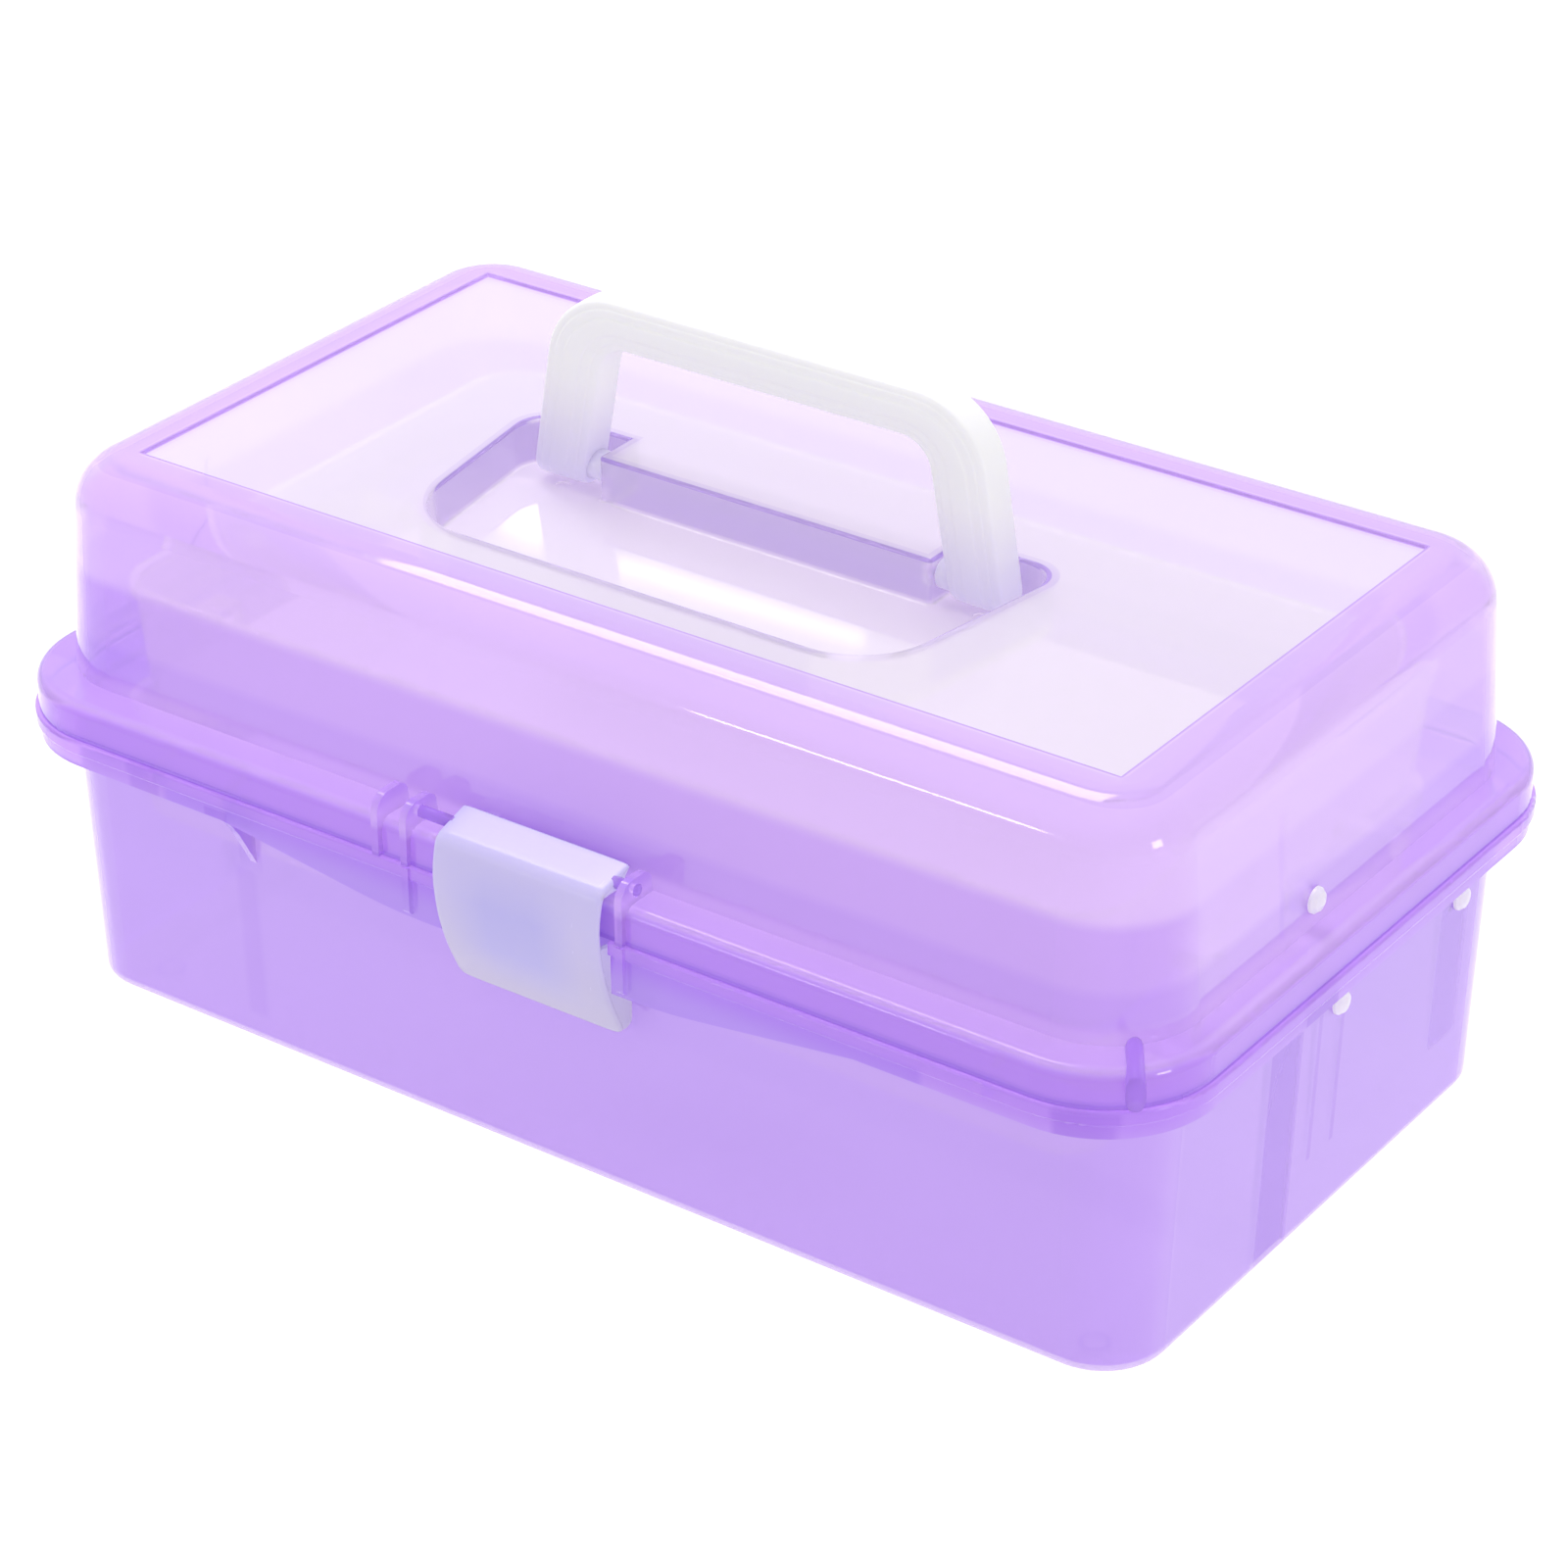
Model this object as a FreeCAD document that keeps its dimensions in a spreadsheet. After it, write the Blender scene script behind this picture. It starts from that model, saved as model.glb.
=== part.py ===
import FreeCAD
import Part
import Sketcher
import math
import os
import re

# Tool box with a hinged lid, two trays on arms, a fold-down handle and a front latch.
# Millimetres. X runs along the box, the latch side faces -Y, +Z is up,
# and the origin is at the bottom centre of the closed box.

V = FreeCAD.Vector
doc = FreeCAD.newDocument("tool_box")
sheet = doc.addObject("Spreadsheet::Sheet", "sizes")

SIZES = [
    # Base tub: its foot, draft, wall and rim
    ("foot_half_length", 153.9),
    ("foot_half_width", 83.4),
    ("foot_corner", 16.5),
    ("foot_round", 2.6),
    ("tub_draft", 2.0),
    ("wall_thickness", 1.8),
    ("floor_thickness", 2.0),
    ("rim_height", 77.0),
    ("rim_half_length", "=foot_half_length + 11.1"),
    ("rim_half_width", "=foot_half_width + 14.03"),
    ("rim_corner", 29.4),
    ("bead_height", 3.8),
    ("bead_round", 0.8),
    ("skirt_inset", 1.0),
    ("skirt_drop", 3.4),
    ("lobe_half_length", 92.0),
    ("lobe_drop", 10.2),
    # Lid: skirt, walls and top
    ("lid_skirt_height", 9.5),
    ("lid_skirt_round", 3.0),
    ("lid_foot_half_length", "=foot_half_length + 3.0"),
    ("lid_foot_half_width", "=foot_half_width + 3.0"),
    ("lid_foot_corner", 23.0),
    ("lid_draft", 3.5),
    ("lid_top", "=rim_height + 63.8"),
    ("lid_round", 12.8),
    ("ceiling_slope", 7.0),
    ("panel_thickness", 1.6),
    ("panel_half_length", "=foot_half_length - 17.0"),
    ("panel_half_width", "=foot_half_width - 17.4"),
    ("panel_depth", 0.8),
    # Recess for the handle
    ("recess_depth", 11.5),
    ("recess_rear_half", 76.0),
    ("recess_front_half", 66.2),
    ("recess_front_y", -54.7),
    ("recess_rear_y", 8.5),
    ("recess_front_corner", 20.0),
    ("recess_corner", 1.2),
    ("recess_edge", 0.6),
    ("recess_rear_corner", 9.0),
    ("block_half", 47.5),
    ("block_front_y", -4.0),
    # Handle
    ("handle_top", "=lid_top + 40.2"),
    ("handle_foot", "=lid_top - 10.7"),
    ("handle_foot_half", 67.8),
    ("handle_top_half", 59.4),
    ("handle_corner", 20.0),
    ("grip_thickness", 12.1),
    ("handle_inner_foot", 52.5),
    ("handle_inner_top", 45.4),
    ("handle_inner_corner", 8.0),
    ("handle_depth", 11.0),
    ("handle_round", 2.2),
    ("handle_pivot_y", 0.5),
    ("handle_pivot_z", "=lid_top - 5.3"),
    ("handle_stub_radius", 2.0),
    # Latch and its ears
    ("latch_left", -23.3),
    ("latch_right", 24.0),
    ("latch_pivot_y", "=-foot_half_width - 8.8"),
    ("latch_pivot_z", "=rim_height + 12.4"),
    ("latch_stub_radius", 1.5),
    ("latch_cheek", 1.6),
    ("latch_gap", 0.8),
    ("ear_thickness", 2.0),
    ("ear_left_x", -33.0),
    ("ear_far_x", -41.4),
    ("ear_right_x", 28.4),
    # Rear hinges
    ("hinge_y", "=foot_half_width + 17.6"),
    ("hinge_z", "=rim_height + 1.0"),
    ("hinge_x", "=foot_half_length - 58.9"),
    ("knuckle_radius", 3.4),
    ("lid_knuckle_length", 12.0),
    ("base_knuckle_length", 8.0),
    ("knuckle_gap", 0.4),
    ("hinge_pin_radius", 1.5),
    ("hinge_pin_length", 31.0),
    # Trays
    ("tray_half_length", "=foot_half_length - 13.4"),
    ("tray_half_width", "=foot_half_width - 6.4"),
    ("tray_corner", 14.0),
    ("tray_height", 30.0),
    ("tray_draft", 5.0),
    ("tray_wall", 1.5),
    ("tray_floor", 1.6),
    ("tray_lip", 1.0),
    ("tray_lip_height", 2.4),
    ("lower_tray_y", -3.0),
    ("lower_tray_z", "=rim_height - 28.0"),
    ("upper_tray_y", 0.0),
    ("upper_tray_z", "=rim_height + 3.0"),
    # Arms, links and rivets
    ("front_pin_y", 0.7),
    ("rear_pin_y", 57.0),
    ("base_pin_z", "=rim_height - 18.0"),
    ("short_reach", 47.5),
    ("long_reach", 95.0),
    ("arm_angle", 4.0),
    ("lid_pin_y", -15.0),
    ("lid_pin_z", "=rim_height + 16.2"),
    ("link_pin_y", 29.43),
    ("link_pin_z", "=rim_height + 7.5"),
    ("arm_width", 9.0),
    ("arm_thickness", 2.2),
    ("outer_plane", "=foot_half_length - 4.3"),
    ("inner_plane", "=foot_half_length - 8.7"),
    ("shank_radius", 2.0),
    ("running_gap", 0.05),
    ("side_gap", 0.15),
    ("boss_radius", 4.0),
    ("lug_width", 8.0),
    ("head_radius", 3.2),
    ("dome_height", 2.2),
    ("head_thickness", 0.9),
    # Moves the whole box so that its outline, from the latch to the hinges, is centred in Y
    ("frame_shift", "=(hinge_y + knuckle_radius + latch_pivot_y - 8.04) / 2"),
]

for row, (name, amount) in enumerate(SIZES, start=1):
    sheet.set("A%d" % row, name)
    sheet.set("B%d" % row, str(amount))
    sheet.setAlias("B%d" % row, name)
doc.recompute()

ALIASES = re.compile(r"\b(" + "|".join(name for name, amount in SIZES) + r")\b")


def bound(text):
    """The expression with every size read from the sheet."""
    return ALIASES.sub(r"sizes.\1", str(text))


def value(text):
    """The number that an expression of sizes gives."""
    return float(sheet.evalExpression(bound(text)))


# Pins of the tray arms, in the closed box
ARM_RUN = "cos(arm_angle)"
ARM_RISE = "sin(arm_angle)"
LOWER_FRONT_PIN = (
    "front_pin_y - short_reach * " + ARM_RUN,
    "base_pin_z + short_reach * " + ARM_RISE,
)
LOWER_REAR_PIN = (
    "rear_pin_y - short_reach * " + ARM_RUN,
    "base_pin_z + short_reach * " + ARM_RISE,
)
UPPER_PIN = (
    "rear_pin_y - long_reach * " + ARM_RUN,
    "base_pin_z + long_reach * " + ARM_RISE,
)
FRONT_PIN = ("front_pin_y", "base_pin_z")
REAR_PIN = ("rear_pin_y", "base_pin_z")
LID_PIN = ("lid_pin_y", "lid_pin_z")
LINK_PIN = ("link_pin_y", "link_pin_z")
EYE_RADIUS = "shank_radius + running_gap"


def new_body(label):
    """An empty sub-part that carries the name of its file."""
    body = doc.addObject("PartDesign::Body", label)
    body.Label = label
    body.setExpression("Placement.Base.y", bound("-frame_shift"))
    return body


def new_sketch(body, label, plane, offset):
    """A sketch on one of the body's own origin planes, moved along the plane's normal."""
    sketch = body.newObject("Sketcher::SketchObject", label)
    for feature in body.Origin.OriginFeatures:
        if feature.Role == plane:
            sketch.AttachmentSupport = [(feature, "")]
    sketch.MapMode = "FlatFace"
    sketch.setExpression("AttachmentOffset.Base.z", bound(offset))
    return sketch


def fix_number(sketch, constraint, label, text):
    """Adds a constraint whose number follows the sheet."""
    index = sketch.addConstraint(constraint)
    sketch.renameConstraint(index, label)
    sketch.setExpression("Constraints." + label, bound(text))


def fix_point(sketch, geometry, position, label, across, up):
    """Holds a point at its two distances from the sketch's origin."""
    fix_number(
        sketch,
        Sketcher.Constraint("DistanceX", -1, 1, geometry, position, value(across)),
        label + "_x",
        across,
    )
    fix_number(
        sketch,
        Sketcher.Constraint("DistanceY", -1, 1, geometry, position, value(up)),
        label + "_y",
        up,
    )


def add_outline(sketch, corners):
    """A closed outline through corners (across, up, radius), rounded where the radius is given."""
    count = len(corners)
    points = [V(value(c[0]), value(c[1]), 0) for c in corners]
    radii = [value(c[2]) if len(c) > 2 else 0.0 for c in corners]
    ways = [(points[(i + 1) % count] - points[i]).normalize() for i in range(count)]
    setbacks = []
    for i in range(count):
        half_turn = ways[i - 1].getAngle(ways[i]) / 2
        setbacks.append(radii[i] * math.tan(half_turn))
    first = sketch.GeometryCount
    for i in range(count):
        start = points[i] + ways[i] * setbacks[i]
        end = points[(i + 1) % count] - ways[i] * setbacks[(i + 1) % count]
        sketch.addGeometry(Part.LineSegment(start, end), False)
    for i in range(count):
        line_in = first + (i - 1) % count
        line_out = first + i
        label = "corner%d" % i
        if radii[i] == 0.0:
            sketch.addConstraint(Sketcher.Constraint("Coincident", line_in, 2, line_out, 1))
            fix_point(sketch, line_out, 1, label, corners[i][0], corners[i][1])
            continue
        start = points[i] - ways[i - 1] * setbacks[i]
        end = points[i] + ways[i] * setbacks[i]
        left_turn = ways[i - 1].cross(ways[i]).z > 0
        inward = V(-ways[i - 1].y, ways[i - 1].x, 0) * (1 if left_turn else -1)
        centre = start + inward * radii[i]
        middle = centre + (points[i] - centre).normalize() * radii[i]
        arc = sketch.addGeometry(Part.Arc(start, middle, end), False)
        near, far = (1, 2) if left_turn else (2, 1)
        sketch.addConstraint(Sketcher.Constraint("Tangent", line_in, 2, arc, near))
        sketch.addConstraint(Sketcher.Constraint("Tangent", arc, far, line_out, 1))
        fix_number(
            sketch,
            Sketcher.Constraint("Radius", arc, radii[i]),
            label + "_r",
            corners[i][2],
        )
        point = sketch.addGeometry(Part.Point(points[i]), True)
        sketch.addConstraint(Sketcher.Constraint("PointOnObject", point, 1, line_in))
        sketch.addConstraint(Sketcher.Constraint("PointOnObject", point, 1, line_out))
        fix_point(sketch, point, 1, label, corners[i][0], corners[i][1])


def add_circle(sketch, centre, radius):
    """A circle round a centre (across, up)."""
    circle = sketch.addGeometry(
        Part.Circle(V(value(centre[0]), value(centre[1]), 0), V(0, 0, 1), value(radius)), False
    )
    label = "h%d" % circle
    fix_number(sketch, Sketcher.Constraint("Radius", circle, value(radius)), label + "_r", radius)
    fix_point(sketch, circle, 3, label, centre[0], centre[1])


def box_corners(half_x, half_y, radius, centre_y="0"):
    """Corners of a rounded rectangle, centred on X = 0."""
    front = "%s - (%s)" % (centre_y, half_y)
    rear = "%s + (%s)" % (centre_y, half_y)
    left = "-(%s)" % half_x
    return [
        (left, front, radius),
        (half_x, front, radius),
        (half_x, rear, radius),
        (left, rear, radius),
    ]


def finish_pad(feature, sketch, length, taper, reverse):
    feature.Profile = sketch
    feature.setExpression("Length", bound(length))
    feature.Reversed = reverse
    if taper is not None:
        feature.setExpression("TaperAngle", bound(taper))
    doc.recompute()
    return feature


def pad(body, sketch, length, taper=None, reverse=False):
    """Adds the sketch's outline, drawn out along its normal."""
    feature = body.newObject("PartDesign::Pad", sketch.Label + "_pad")
    return finish_pad(feature, sketch, length, taper, reverse)


def pocket(body, sketch, length, taper=None, reverse=False):
    """Cuts the sketch's outline against its normal, or along it when reversed."""
    feature = body.newObject("PartDesign::Pocket", sketch.Label + "_cut")
    return finish_pad(feature, sketch, length, taper, reverse)


def pocket_both_ways(body, sketch, length):
    """Cuts the sketch's outline half the length to each side of its plane."""
    feature = body.newObject("PartDesign::Pocket", sketch.Label + "_cut")
    feature.SideType = "Symmetric"
    return finish_pad(feature, sketch, length, None, False)


def round_edges(body, label, radius, wanted):
    """Rounds the edges of the body's last feature that a test picks."""
    tip = body.Tip
    names = ["Edge%d" % (i + 1) for i, edge in enumerate(tip.Shape.Edges) if wanted(edge)]
    feature = body.newObject("PartDesign::Fillet", label)
    feature.Base = (tip, names)
    feature.setExpression("Radius", bound(radius))
    doc.recompute()
    return feature


def lies_level(edge):
    """A test for every edge that lies level."""
    return edge.BoundBox.ZLength < 0.01


def at_height(height, tolerance=0.01):
    """A test for edges that lie level at a height."""
    def wanted(edge):
        box = edge.BoundBox
        return abs(box.ZMin - height) < tolerance and abs(box.ZMax - height) < tolerance
    return wanted


def plate(body, label, corners, start, thickness):
    """A plate square to X, between start and start + thickness."""
    sketch = new_sketch(body, label, "YZ_Plane", start)
    add_outline(sketch, corners)
    return pad(body, sketch, thickness)


def stud(body, label, centre, radius, start, length):
    """A round boss or stub along X."""
    sketch = new_sketch(body, label, "YZ_Plane", start)
    add_circle(sketch, centre, radius)
    return pad(body, sketch, length)


def bore(body, label, centre, radius, middle, length):
    """A round hole along X, half its length to each side of the middle."""
    sketch = new_sketch(body, label, "YZ_Plane", middle)
    add_circle(sketch, centre, radius)
    return pocket_both_ways(body, sketch, length)


def both_ends(body, label, centre, radius, inner, outer):
    """The same round boss at both ends of the box, between two distances from its middle."""
    length = "(%s) - (%s)" % (outer, inner)
    stud(body, label + "_right", centre, radius, inner, length)
    stud(body, label + "_left", centre, radius, "-(%s)" % outer, length)


# Base tub
tub_growth = "rim_height * tan(tub_draft)"
base = new_body("base_tub")
sketch = new_sketch(base, "rim", "XY_Plane", "rim_height - bead_height")
add_outline(sketch, box_corners("rim_half_length", "rim_half_width", "rim_corner"))
pad(base, sketch, "bead_height")
round_edges(base, "bead_rounding", "bead_round", lies_level)
sketch = new_sketch(base, "skirt", "XY_Plane", "rim_height - bead_height - skirt_drop")
add_outline(
    sketch,
    box_corners(
        "rim_half_length - skirt_inset", "rim_half_width - skirt_inset", "rim_corner - skirt_inset"
    ),
)
pad(base, sketch, "skirt_drop")
sketch = new_sketch(base, "skirt_lobe", "XZ_Plane", "rim_half_width - skirt_inset - wall_thickness")
lobe_top = "rim_height - bead_height"
add_outline(
    sketch,
    [
        ("-lobe_half_length", lobe_top),
        ("-lobe_half_length", lobe_top + " - skirt_drop + 0.2"),
        ("-lobe_half_length * 0.42", lobe_top + " - lobe_drop", "lobe_half_length * 1.6"),
        ("lobe_half_length * 0.42", lobe_top + " - lobe_drop", "lobe_half_length * 1.6"),
        ("lobe_half_length", lobe_top + " - skirt_drop + 0.2"),
        ("lobe_half_length", lobe_top),
    ],
)
pad(base, sketch, "wall_thickness")
sketch = new_sketch(base, "channel", "XY_Plane", "rim_height - bead_height - skirt_drop")
channel = "skirt_inset + wall_thickness"
add_outline(
    sketch,
    box_corners(
        "rim_half_length - " + channel.replace(" + ", " - "),
        "rim_half_width - " + channel.replace(" + ", " - "),
        "rim_corner - " + channel.replace(" + ", " - "),
    ),
)
pocket(base, sketch, "skirt_drop + bead_height - wall_thickness", reverse=True)
sketch = new_sketch(base, "tub_wall", "XY_Plane", "0")
add_outline(sketch, box_corners("foot_half_length", "foot_half_width", "foot_corner"))
pad(base, sketch, "rim_height - wall_thickness / 2", "tub_draft")
round_edges(base, "foot_rounding", "foot_round", at_height(0.0))
sketch = new_sketch(base, "tub_cavity", "XY_Plane", "floor_thickness")
floor_inset = "floor_thickness * tan(tub_draft) - wall_thickness"
add_outline(
    sketch,
    box_corners(
        "foot_half_length + " + floor_inset,
        "foot_half_width + " + floor_inset,
        "foot_corner + " + floor_inset,
    ),
)
pocket(base, sketch, "rim_height - floor_thickness + 1", "tub_draft", reverse=True)
sketch = new_sketch(base, "latch_bay", "XY_Plane", "rim_height")
bay_left = "latch_left - latch_gap"
bay_right = "latch_right + latch_gap"
bay_rear = "-(foot_half_width + %s + 0.7)" % tub_growth
add_outline(
    sketch,
    [
        (bay_left, "-rim_half_width - 1"),
        (bay_right, "-rim_half_width - 1"),
        (bay_right, bay_rear),
        (bay_left, bay_rear),
    ],
)
pocket(base, sketch, "bead_height + lobe_drop + 1")
for name, middle in (("cheek_left", "ear_left_x"), ("cheek_right", "ear_right_x")):
    plate(
        base,
        name,
        [
            ("-rim_half_width - 0.6", "rim_height - bead_height - lobe_drop + 1.4", "1.5"),
            ("-rim_half_width + 3", "rim_height - bead_height - lobe_drop + 1.4"),
            ("-rim_half_width + 3", "rim_height - 0.3"),
            ("-rim_half_width - 0.6", "rim_height - 0.3"),
        ],
        "%s - ear_thickness / 2" % middle,
        "ear_thickness",
    )
wall_at_pins = "foot_half_length + base_pin_z * tan(tub_draft)"
both_ends(
    base,
    "front_pin_boss",
    FRONT_PIN,
    "boss_radius",
    "outer_plane + arm_thickness + side_gap",
    wall_at_pins + " - wall_thickness / 2",
)
both_ends(
    base,
    "rear_pin_boss",
    REAR_PIN,
    "boss_radius",
    "inner_plane + arm_thickness + side_gap",
    wall_at_pins + " - wall_thickness / 2",
)
column_face = "foot_half_length - wall_thickness + 22 * tan(tub_draft)"
for name, low, high in (("front", "-7.8", "4.2"), ("rear", "49", "62")):
    for side, start in (("right", column_face), ("left", "-(%s) - 1.4" % column_face)):
        plate(
            base,
            "%s_column_%s" % (name, side),
            [(low, "20"), (high, "20"), (high, "base_pin_z"), (low, "base_pin_z")],
            start,
            "1.4",
        )
strip_foot = "foot_half_length - wall_thickness + floor_thickness * tan(tub_draft)"
strip_head = "foot_half_length - wall_thickness + (rim_height - 3) * tan(tub_draft)"
for side, sign in (("right", ""), ("left", "-")):
    sketch = new_sketch(base, "end_strip_" + side, "XZ_Plane", "15")
    add_outline(
        sketch,
        [
            ("%s(%s - 1.2)" % (sign, strip_foot), "floor_thickness - 0.5"),
            ("%s(%s + 0.6)" % (sign, strip_foot), "floor_thickness - 0.5"),
            ("%s(%s + 0.6)" % (sign, strip_head), "rim_height - 3"),
            ("%s(%s - 1.2)" % (sign, strip_head), "rim_height - 3"),
        ],
    )
    pad(base, sketch, "13.7")
for name, start, low, reach in (
    ("front_gusset", "-92", "51", "96"),
    ("rib_left", "-114", "70.5", "95.2"),
    ("rib_right", "121", "70.5", "95.2"),
):
    plate(
        base,
        name,
        [
            ("-(foot_half_width + %s * tan(tub_draft) - 0.9)" % low, low),
            ("-(foot_half_width + %s * tan(tub_draft) - 0.9)" % low, "rim_height - 1"),
            ("-%s" % reach, "rim_height - 1"),
            ("-%s" % reach, "rim_height - bead_height - skirt_drop + 1"),
            (
                "-(0.6 * %s + 0.4 * foot_half_width)" % reach,
                "(rim_height - bead_height - skirt_drop) * 0.66 + 0.34 * %s" % low,
            ),
        ],
        start,
        "2",
    )
bore(base, "front_pin_bore", FRONT_PIN, "shank_radius", "0", "2 * rim_half_length")
bore(base, "rear_pin_bore", REAR_PIN, "shank_radius", "0", "2 * rim_half_length")

hinge_centre = ("hinge_y", "hinge_z")
base_web = [
    ("rim_half_width - 1.6", "rim_height - bead_height + 0.5"),
    ("hinge_y", "rim_height - bead_height + 0.5"),
    ("hinge_y", "rim_height - 0.2"),
    ("rim_half_width - 1.6", "rim_height - 0.2"),
]
knuckle_starts = (
    ("right_outer", "hinge_x + lid_knuckle_length / 2 + knuckle_gap"),
    ("right_inner", "hinge_x - lid_knuckle_length / 2 - knuckle_gap - base_knuckle_length"),
    ("left_inner", "-hinge_x + lid_knuckle_length / 2 + knuckle_gap"),
    ("left_outer", "-hinge_x - lid_knuckle_length / 2 - knuckle_gap - base_knuckle_length"),
)
for name, start in knuckle_starts:
    plate(base, "web_" + name, base_web, start, "base_knuckle_length")
    stud(base, "knuckle_" + name, hinge_centre, "knuckle_radius", start, "base_knuckle_length")
bore(base, "hinge_bore", hinge_centre, "hinge_pin_radius", "0", "2 * rim_half_length")

# Lid
lid_drop = "lid_top - rim_height - lid_skirt_height"
lid = new_body("lid_shell")
sketch = new_sketch(lid, "lid_skirt", "XY_Plane", "rim_height")
add_outline(
    sketch,
    box_corners(
        "rim_half_length - skirt_inset", "rim_half_width - skirt_inset", "rim_corner - skirt_inset"
    ),
)
pad(lid, sketch, "lid_skirt_height")
round_edges(
    lid, "skirt_rounding", "lid_skirt_round", at_height(value("rim_height + lid_skirt_height"))
)
sketch = new_sketch(lid, "lid_wall", "XY_Plane", "lid_top")
top_inset = "(%s) * tan(lid_draft)" % lid_drop
add_outline(
    sketch,
    box_corners(
        "lid_foot_half_length - " + top_inset,
        "lid_foot_half_width - " + top_inset,
        "lid_foot_corner - " + top_inset,
    ),
)
pad(lid, sketch, lid_drop + " + 0.5", "lid_draft", reverse=True)
round_edges(lid, "lid_rounding", "lid_round", at_height(value("lid_top")))
sketch = new_sketch(lid, "skirt_inside", "XY_Plane", "rim_height")
add_outline(
    sketch,
    box_corners(
        "rim_half_length - skirt_inset - wall_thickness",
        "rim_half_width - skirt_inset - wall_thickness",
        "rim_corner - skirt_inset - wall_thickness",
    ),
)
pocket(lid, sketch, "lid_skirt_height - wall_thickness", reverse=True)
ceiling = "lid_top - panel_depth - panel_thickness"
shoulder = "(%s - ceiling_slope)" % ceiling
shoulder_inset = (
    "(%s - rim_height - lid_skirt_height) * tan(lid_draft) + wall_thickness" % shoulder
)
for name, height, inset, depth, draft in (
    (
        "lid_cavity",
        shoulder,
        shoulder_inset,
        shoulder + " - rim_height - lid_skirt_height + wall_thickness + 1",
        "lid_draft",
    ),
    ("ceiling_edge", ceiling, shoulder_inset + " + ceiling_slope", "ceiling_slope + 0.01", "45"),
):
    sketch = new_sketch(lid, name, "XY_Plane", height)
    add_outline(
        sketch,
        box_corners(
            "lid_foot_half_length - (%s)" % inset,
            "lid_foot_half_width - (%s)" % inset,
            "lid_foot_corner - (%s)" % inset,
        ),
    )
    pocket(lid, sketch, depth, draft)


def recess_corners(grow):
    """The U-shaped recess round the handle's block, or its outside when it grows."""
    rear = "recess_rear_y + %s" % grow
    front = "recess_front_y - %s" % grow
    step = "block_front_y + %s" % grow
    return [
        ("-recess_rear_half - " + grow, rear, "recess_rear_corner + " + grow),
        ("-recess_front_half - " + grow, front, "recess_front_corner + " + grow),
        ("recess_front_half + " + grow, front, "recess_front_corner + " + grow),
        ("recess_rear_half + " + grow, rear, "recess_rear_corner + " + grow),
        ("block_half - " + grow, rear, "recess_corner"),
        ("block_half - " + grow, step, "recess_corner"),
        ("-block_half + " + grow, step, "recess_corner"),
        ("-block_half + " + grow, rear, "recess_corner"),
    ]


recess_floor = "lid_top - panel_depth - recess_depth"
sketch = new_sketch(lid, "recess_outside", "XY_Plane", recess_floor + " - wall_thickness")
add_outline(sketch, recess_corners("wall_thickness"))
pad(lid, sketch, "recess_depth + wall_thickness - panel_thickness / 2")
sketch = new_sketch(lid, "panel", "XY_Plane", "lid_top")
add_outline(
    sketch,
    [
        ("-panel_half_length", "-panel_half_width"),
        ("panel_half_length", "-panel_half_width"),
        ("panel_half_length", "panel_half_width"),
        ("-panel_half_length", "panel_half_width"),
    ],
)
pocket(lid, sketch, "panel_depth")
sketch = new_sketch(lid, "recess", "XY_Plane", "lid_top")
add_outline(sketch, recess_corners("0"))
pocket(lid, sketch, "recess_depth + panel_depth")
panel_floor = value("lid_top - panel_depth")


def round_the_recess(edge):
    box = edge.BoundBox
    level = abs(box.ZMin - panel_floor) < 0.01 and abs(box.ZMax - panel_floor) < 0.01
    return level and abs(box.Center.x) < value("recess_rear_half + 1") and box.XLength < 160


round_edges(lid, "recess_rounding", "recess_edge", round_the_recess)
round_edges(lid, "recess_floor_rounding", "recess_corner * 0.8", at_height(value(recess_floor)))
sketch = new_sketch(lid, "recess_dimples", "XY_Plane", recess_floor)
for across in ("-60", "60"):
    add_circle(sketch, (across, "-2"), "1.9")
pocket(lid, sketch, "0.4")
both_ends(
    lid,
    "stub_boss",
    ("handle_pivot_y", "handle_pivot_z"),
    "handle_stub_radius + 1.8",
    "block_half - wall_thickness - 1.5",
    "block_half - wall_thickness / 2",
)
bore(
    lid,
    "handle_bore",
    ("handle_pivot_y", "handle_pivot_z"),
    "handle_stub_radius + running_gap",
    "0",
    "2 * block_half + 4",
)
wall_at_lid_pin = (
    "lid_foot_half_length - (lid_pin_z - rim_height - lid_skirt_height) * tan(lid_draft)"
)
both_ends(
    lid,
    "lid_pin_boss",
    LID_PIN,
    "boss_radius",
    "outer_plane + arm_thickness + side_gap",
    wall_at_lid_pin + " - wall_thickness / 2",
)
bore(lid, "lid_pin_bore", LID_PIN, "shank_radius", "0", "2 * rim_half_length")
for name, middle in (("left", "ear_left_x"), ("far", "ear_far_x"), ("right", "ear_right_x")):
    plate(
        lid,
        "ear_" + name,
        [
            ("-rim_half_width - 0.6", "rim_height + 0.3"),
            ("-rim_half_width + 2", "rim_height + 0.3"),
            ("-rim_half_width + 2", "rim_height + lid_skirt_height - 1"),
            ("latch_pivot_y + 6", "rim_height + lid_skirt_height - 1"),
            ("latch_pivot_y + 5", "latch_pivot_z + 3.2", "3"),
            ("-rim_half_width - 0.6", "latch_pivot_z + 3.2", "4.5"),
        ],
        "%s - ear_thickness / 2" % middle,
        "ear_thickness",
    )
bore(
    lid,
    "latch_bore",
    ("latch_pivot_y", "latch_pivot_z"),
    "latch_stub_radius + running_gap",
    "(ear_left_x + ear_right_x) / 2",
    "ear_right_x - ear_left_x + ear_thickness + 2",
)
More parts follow.
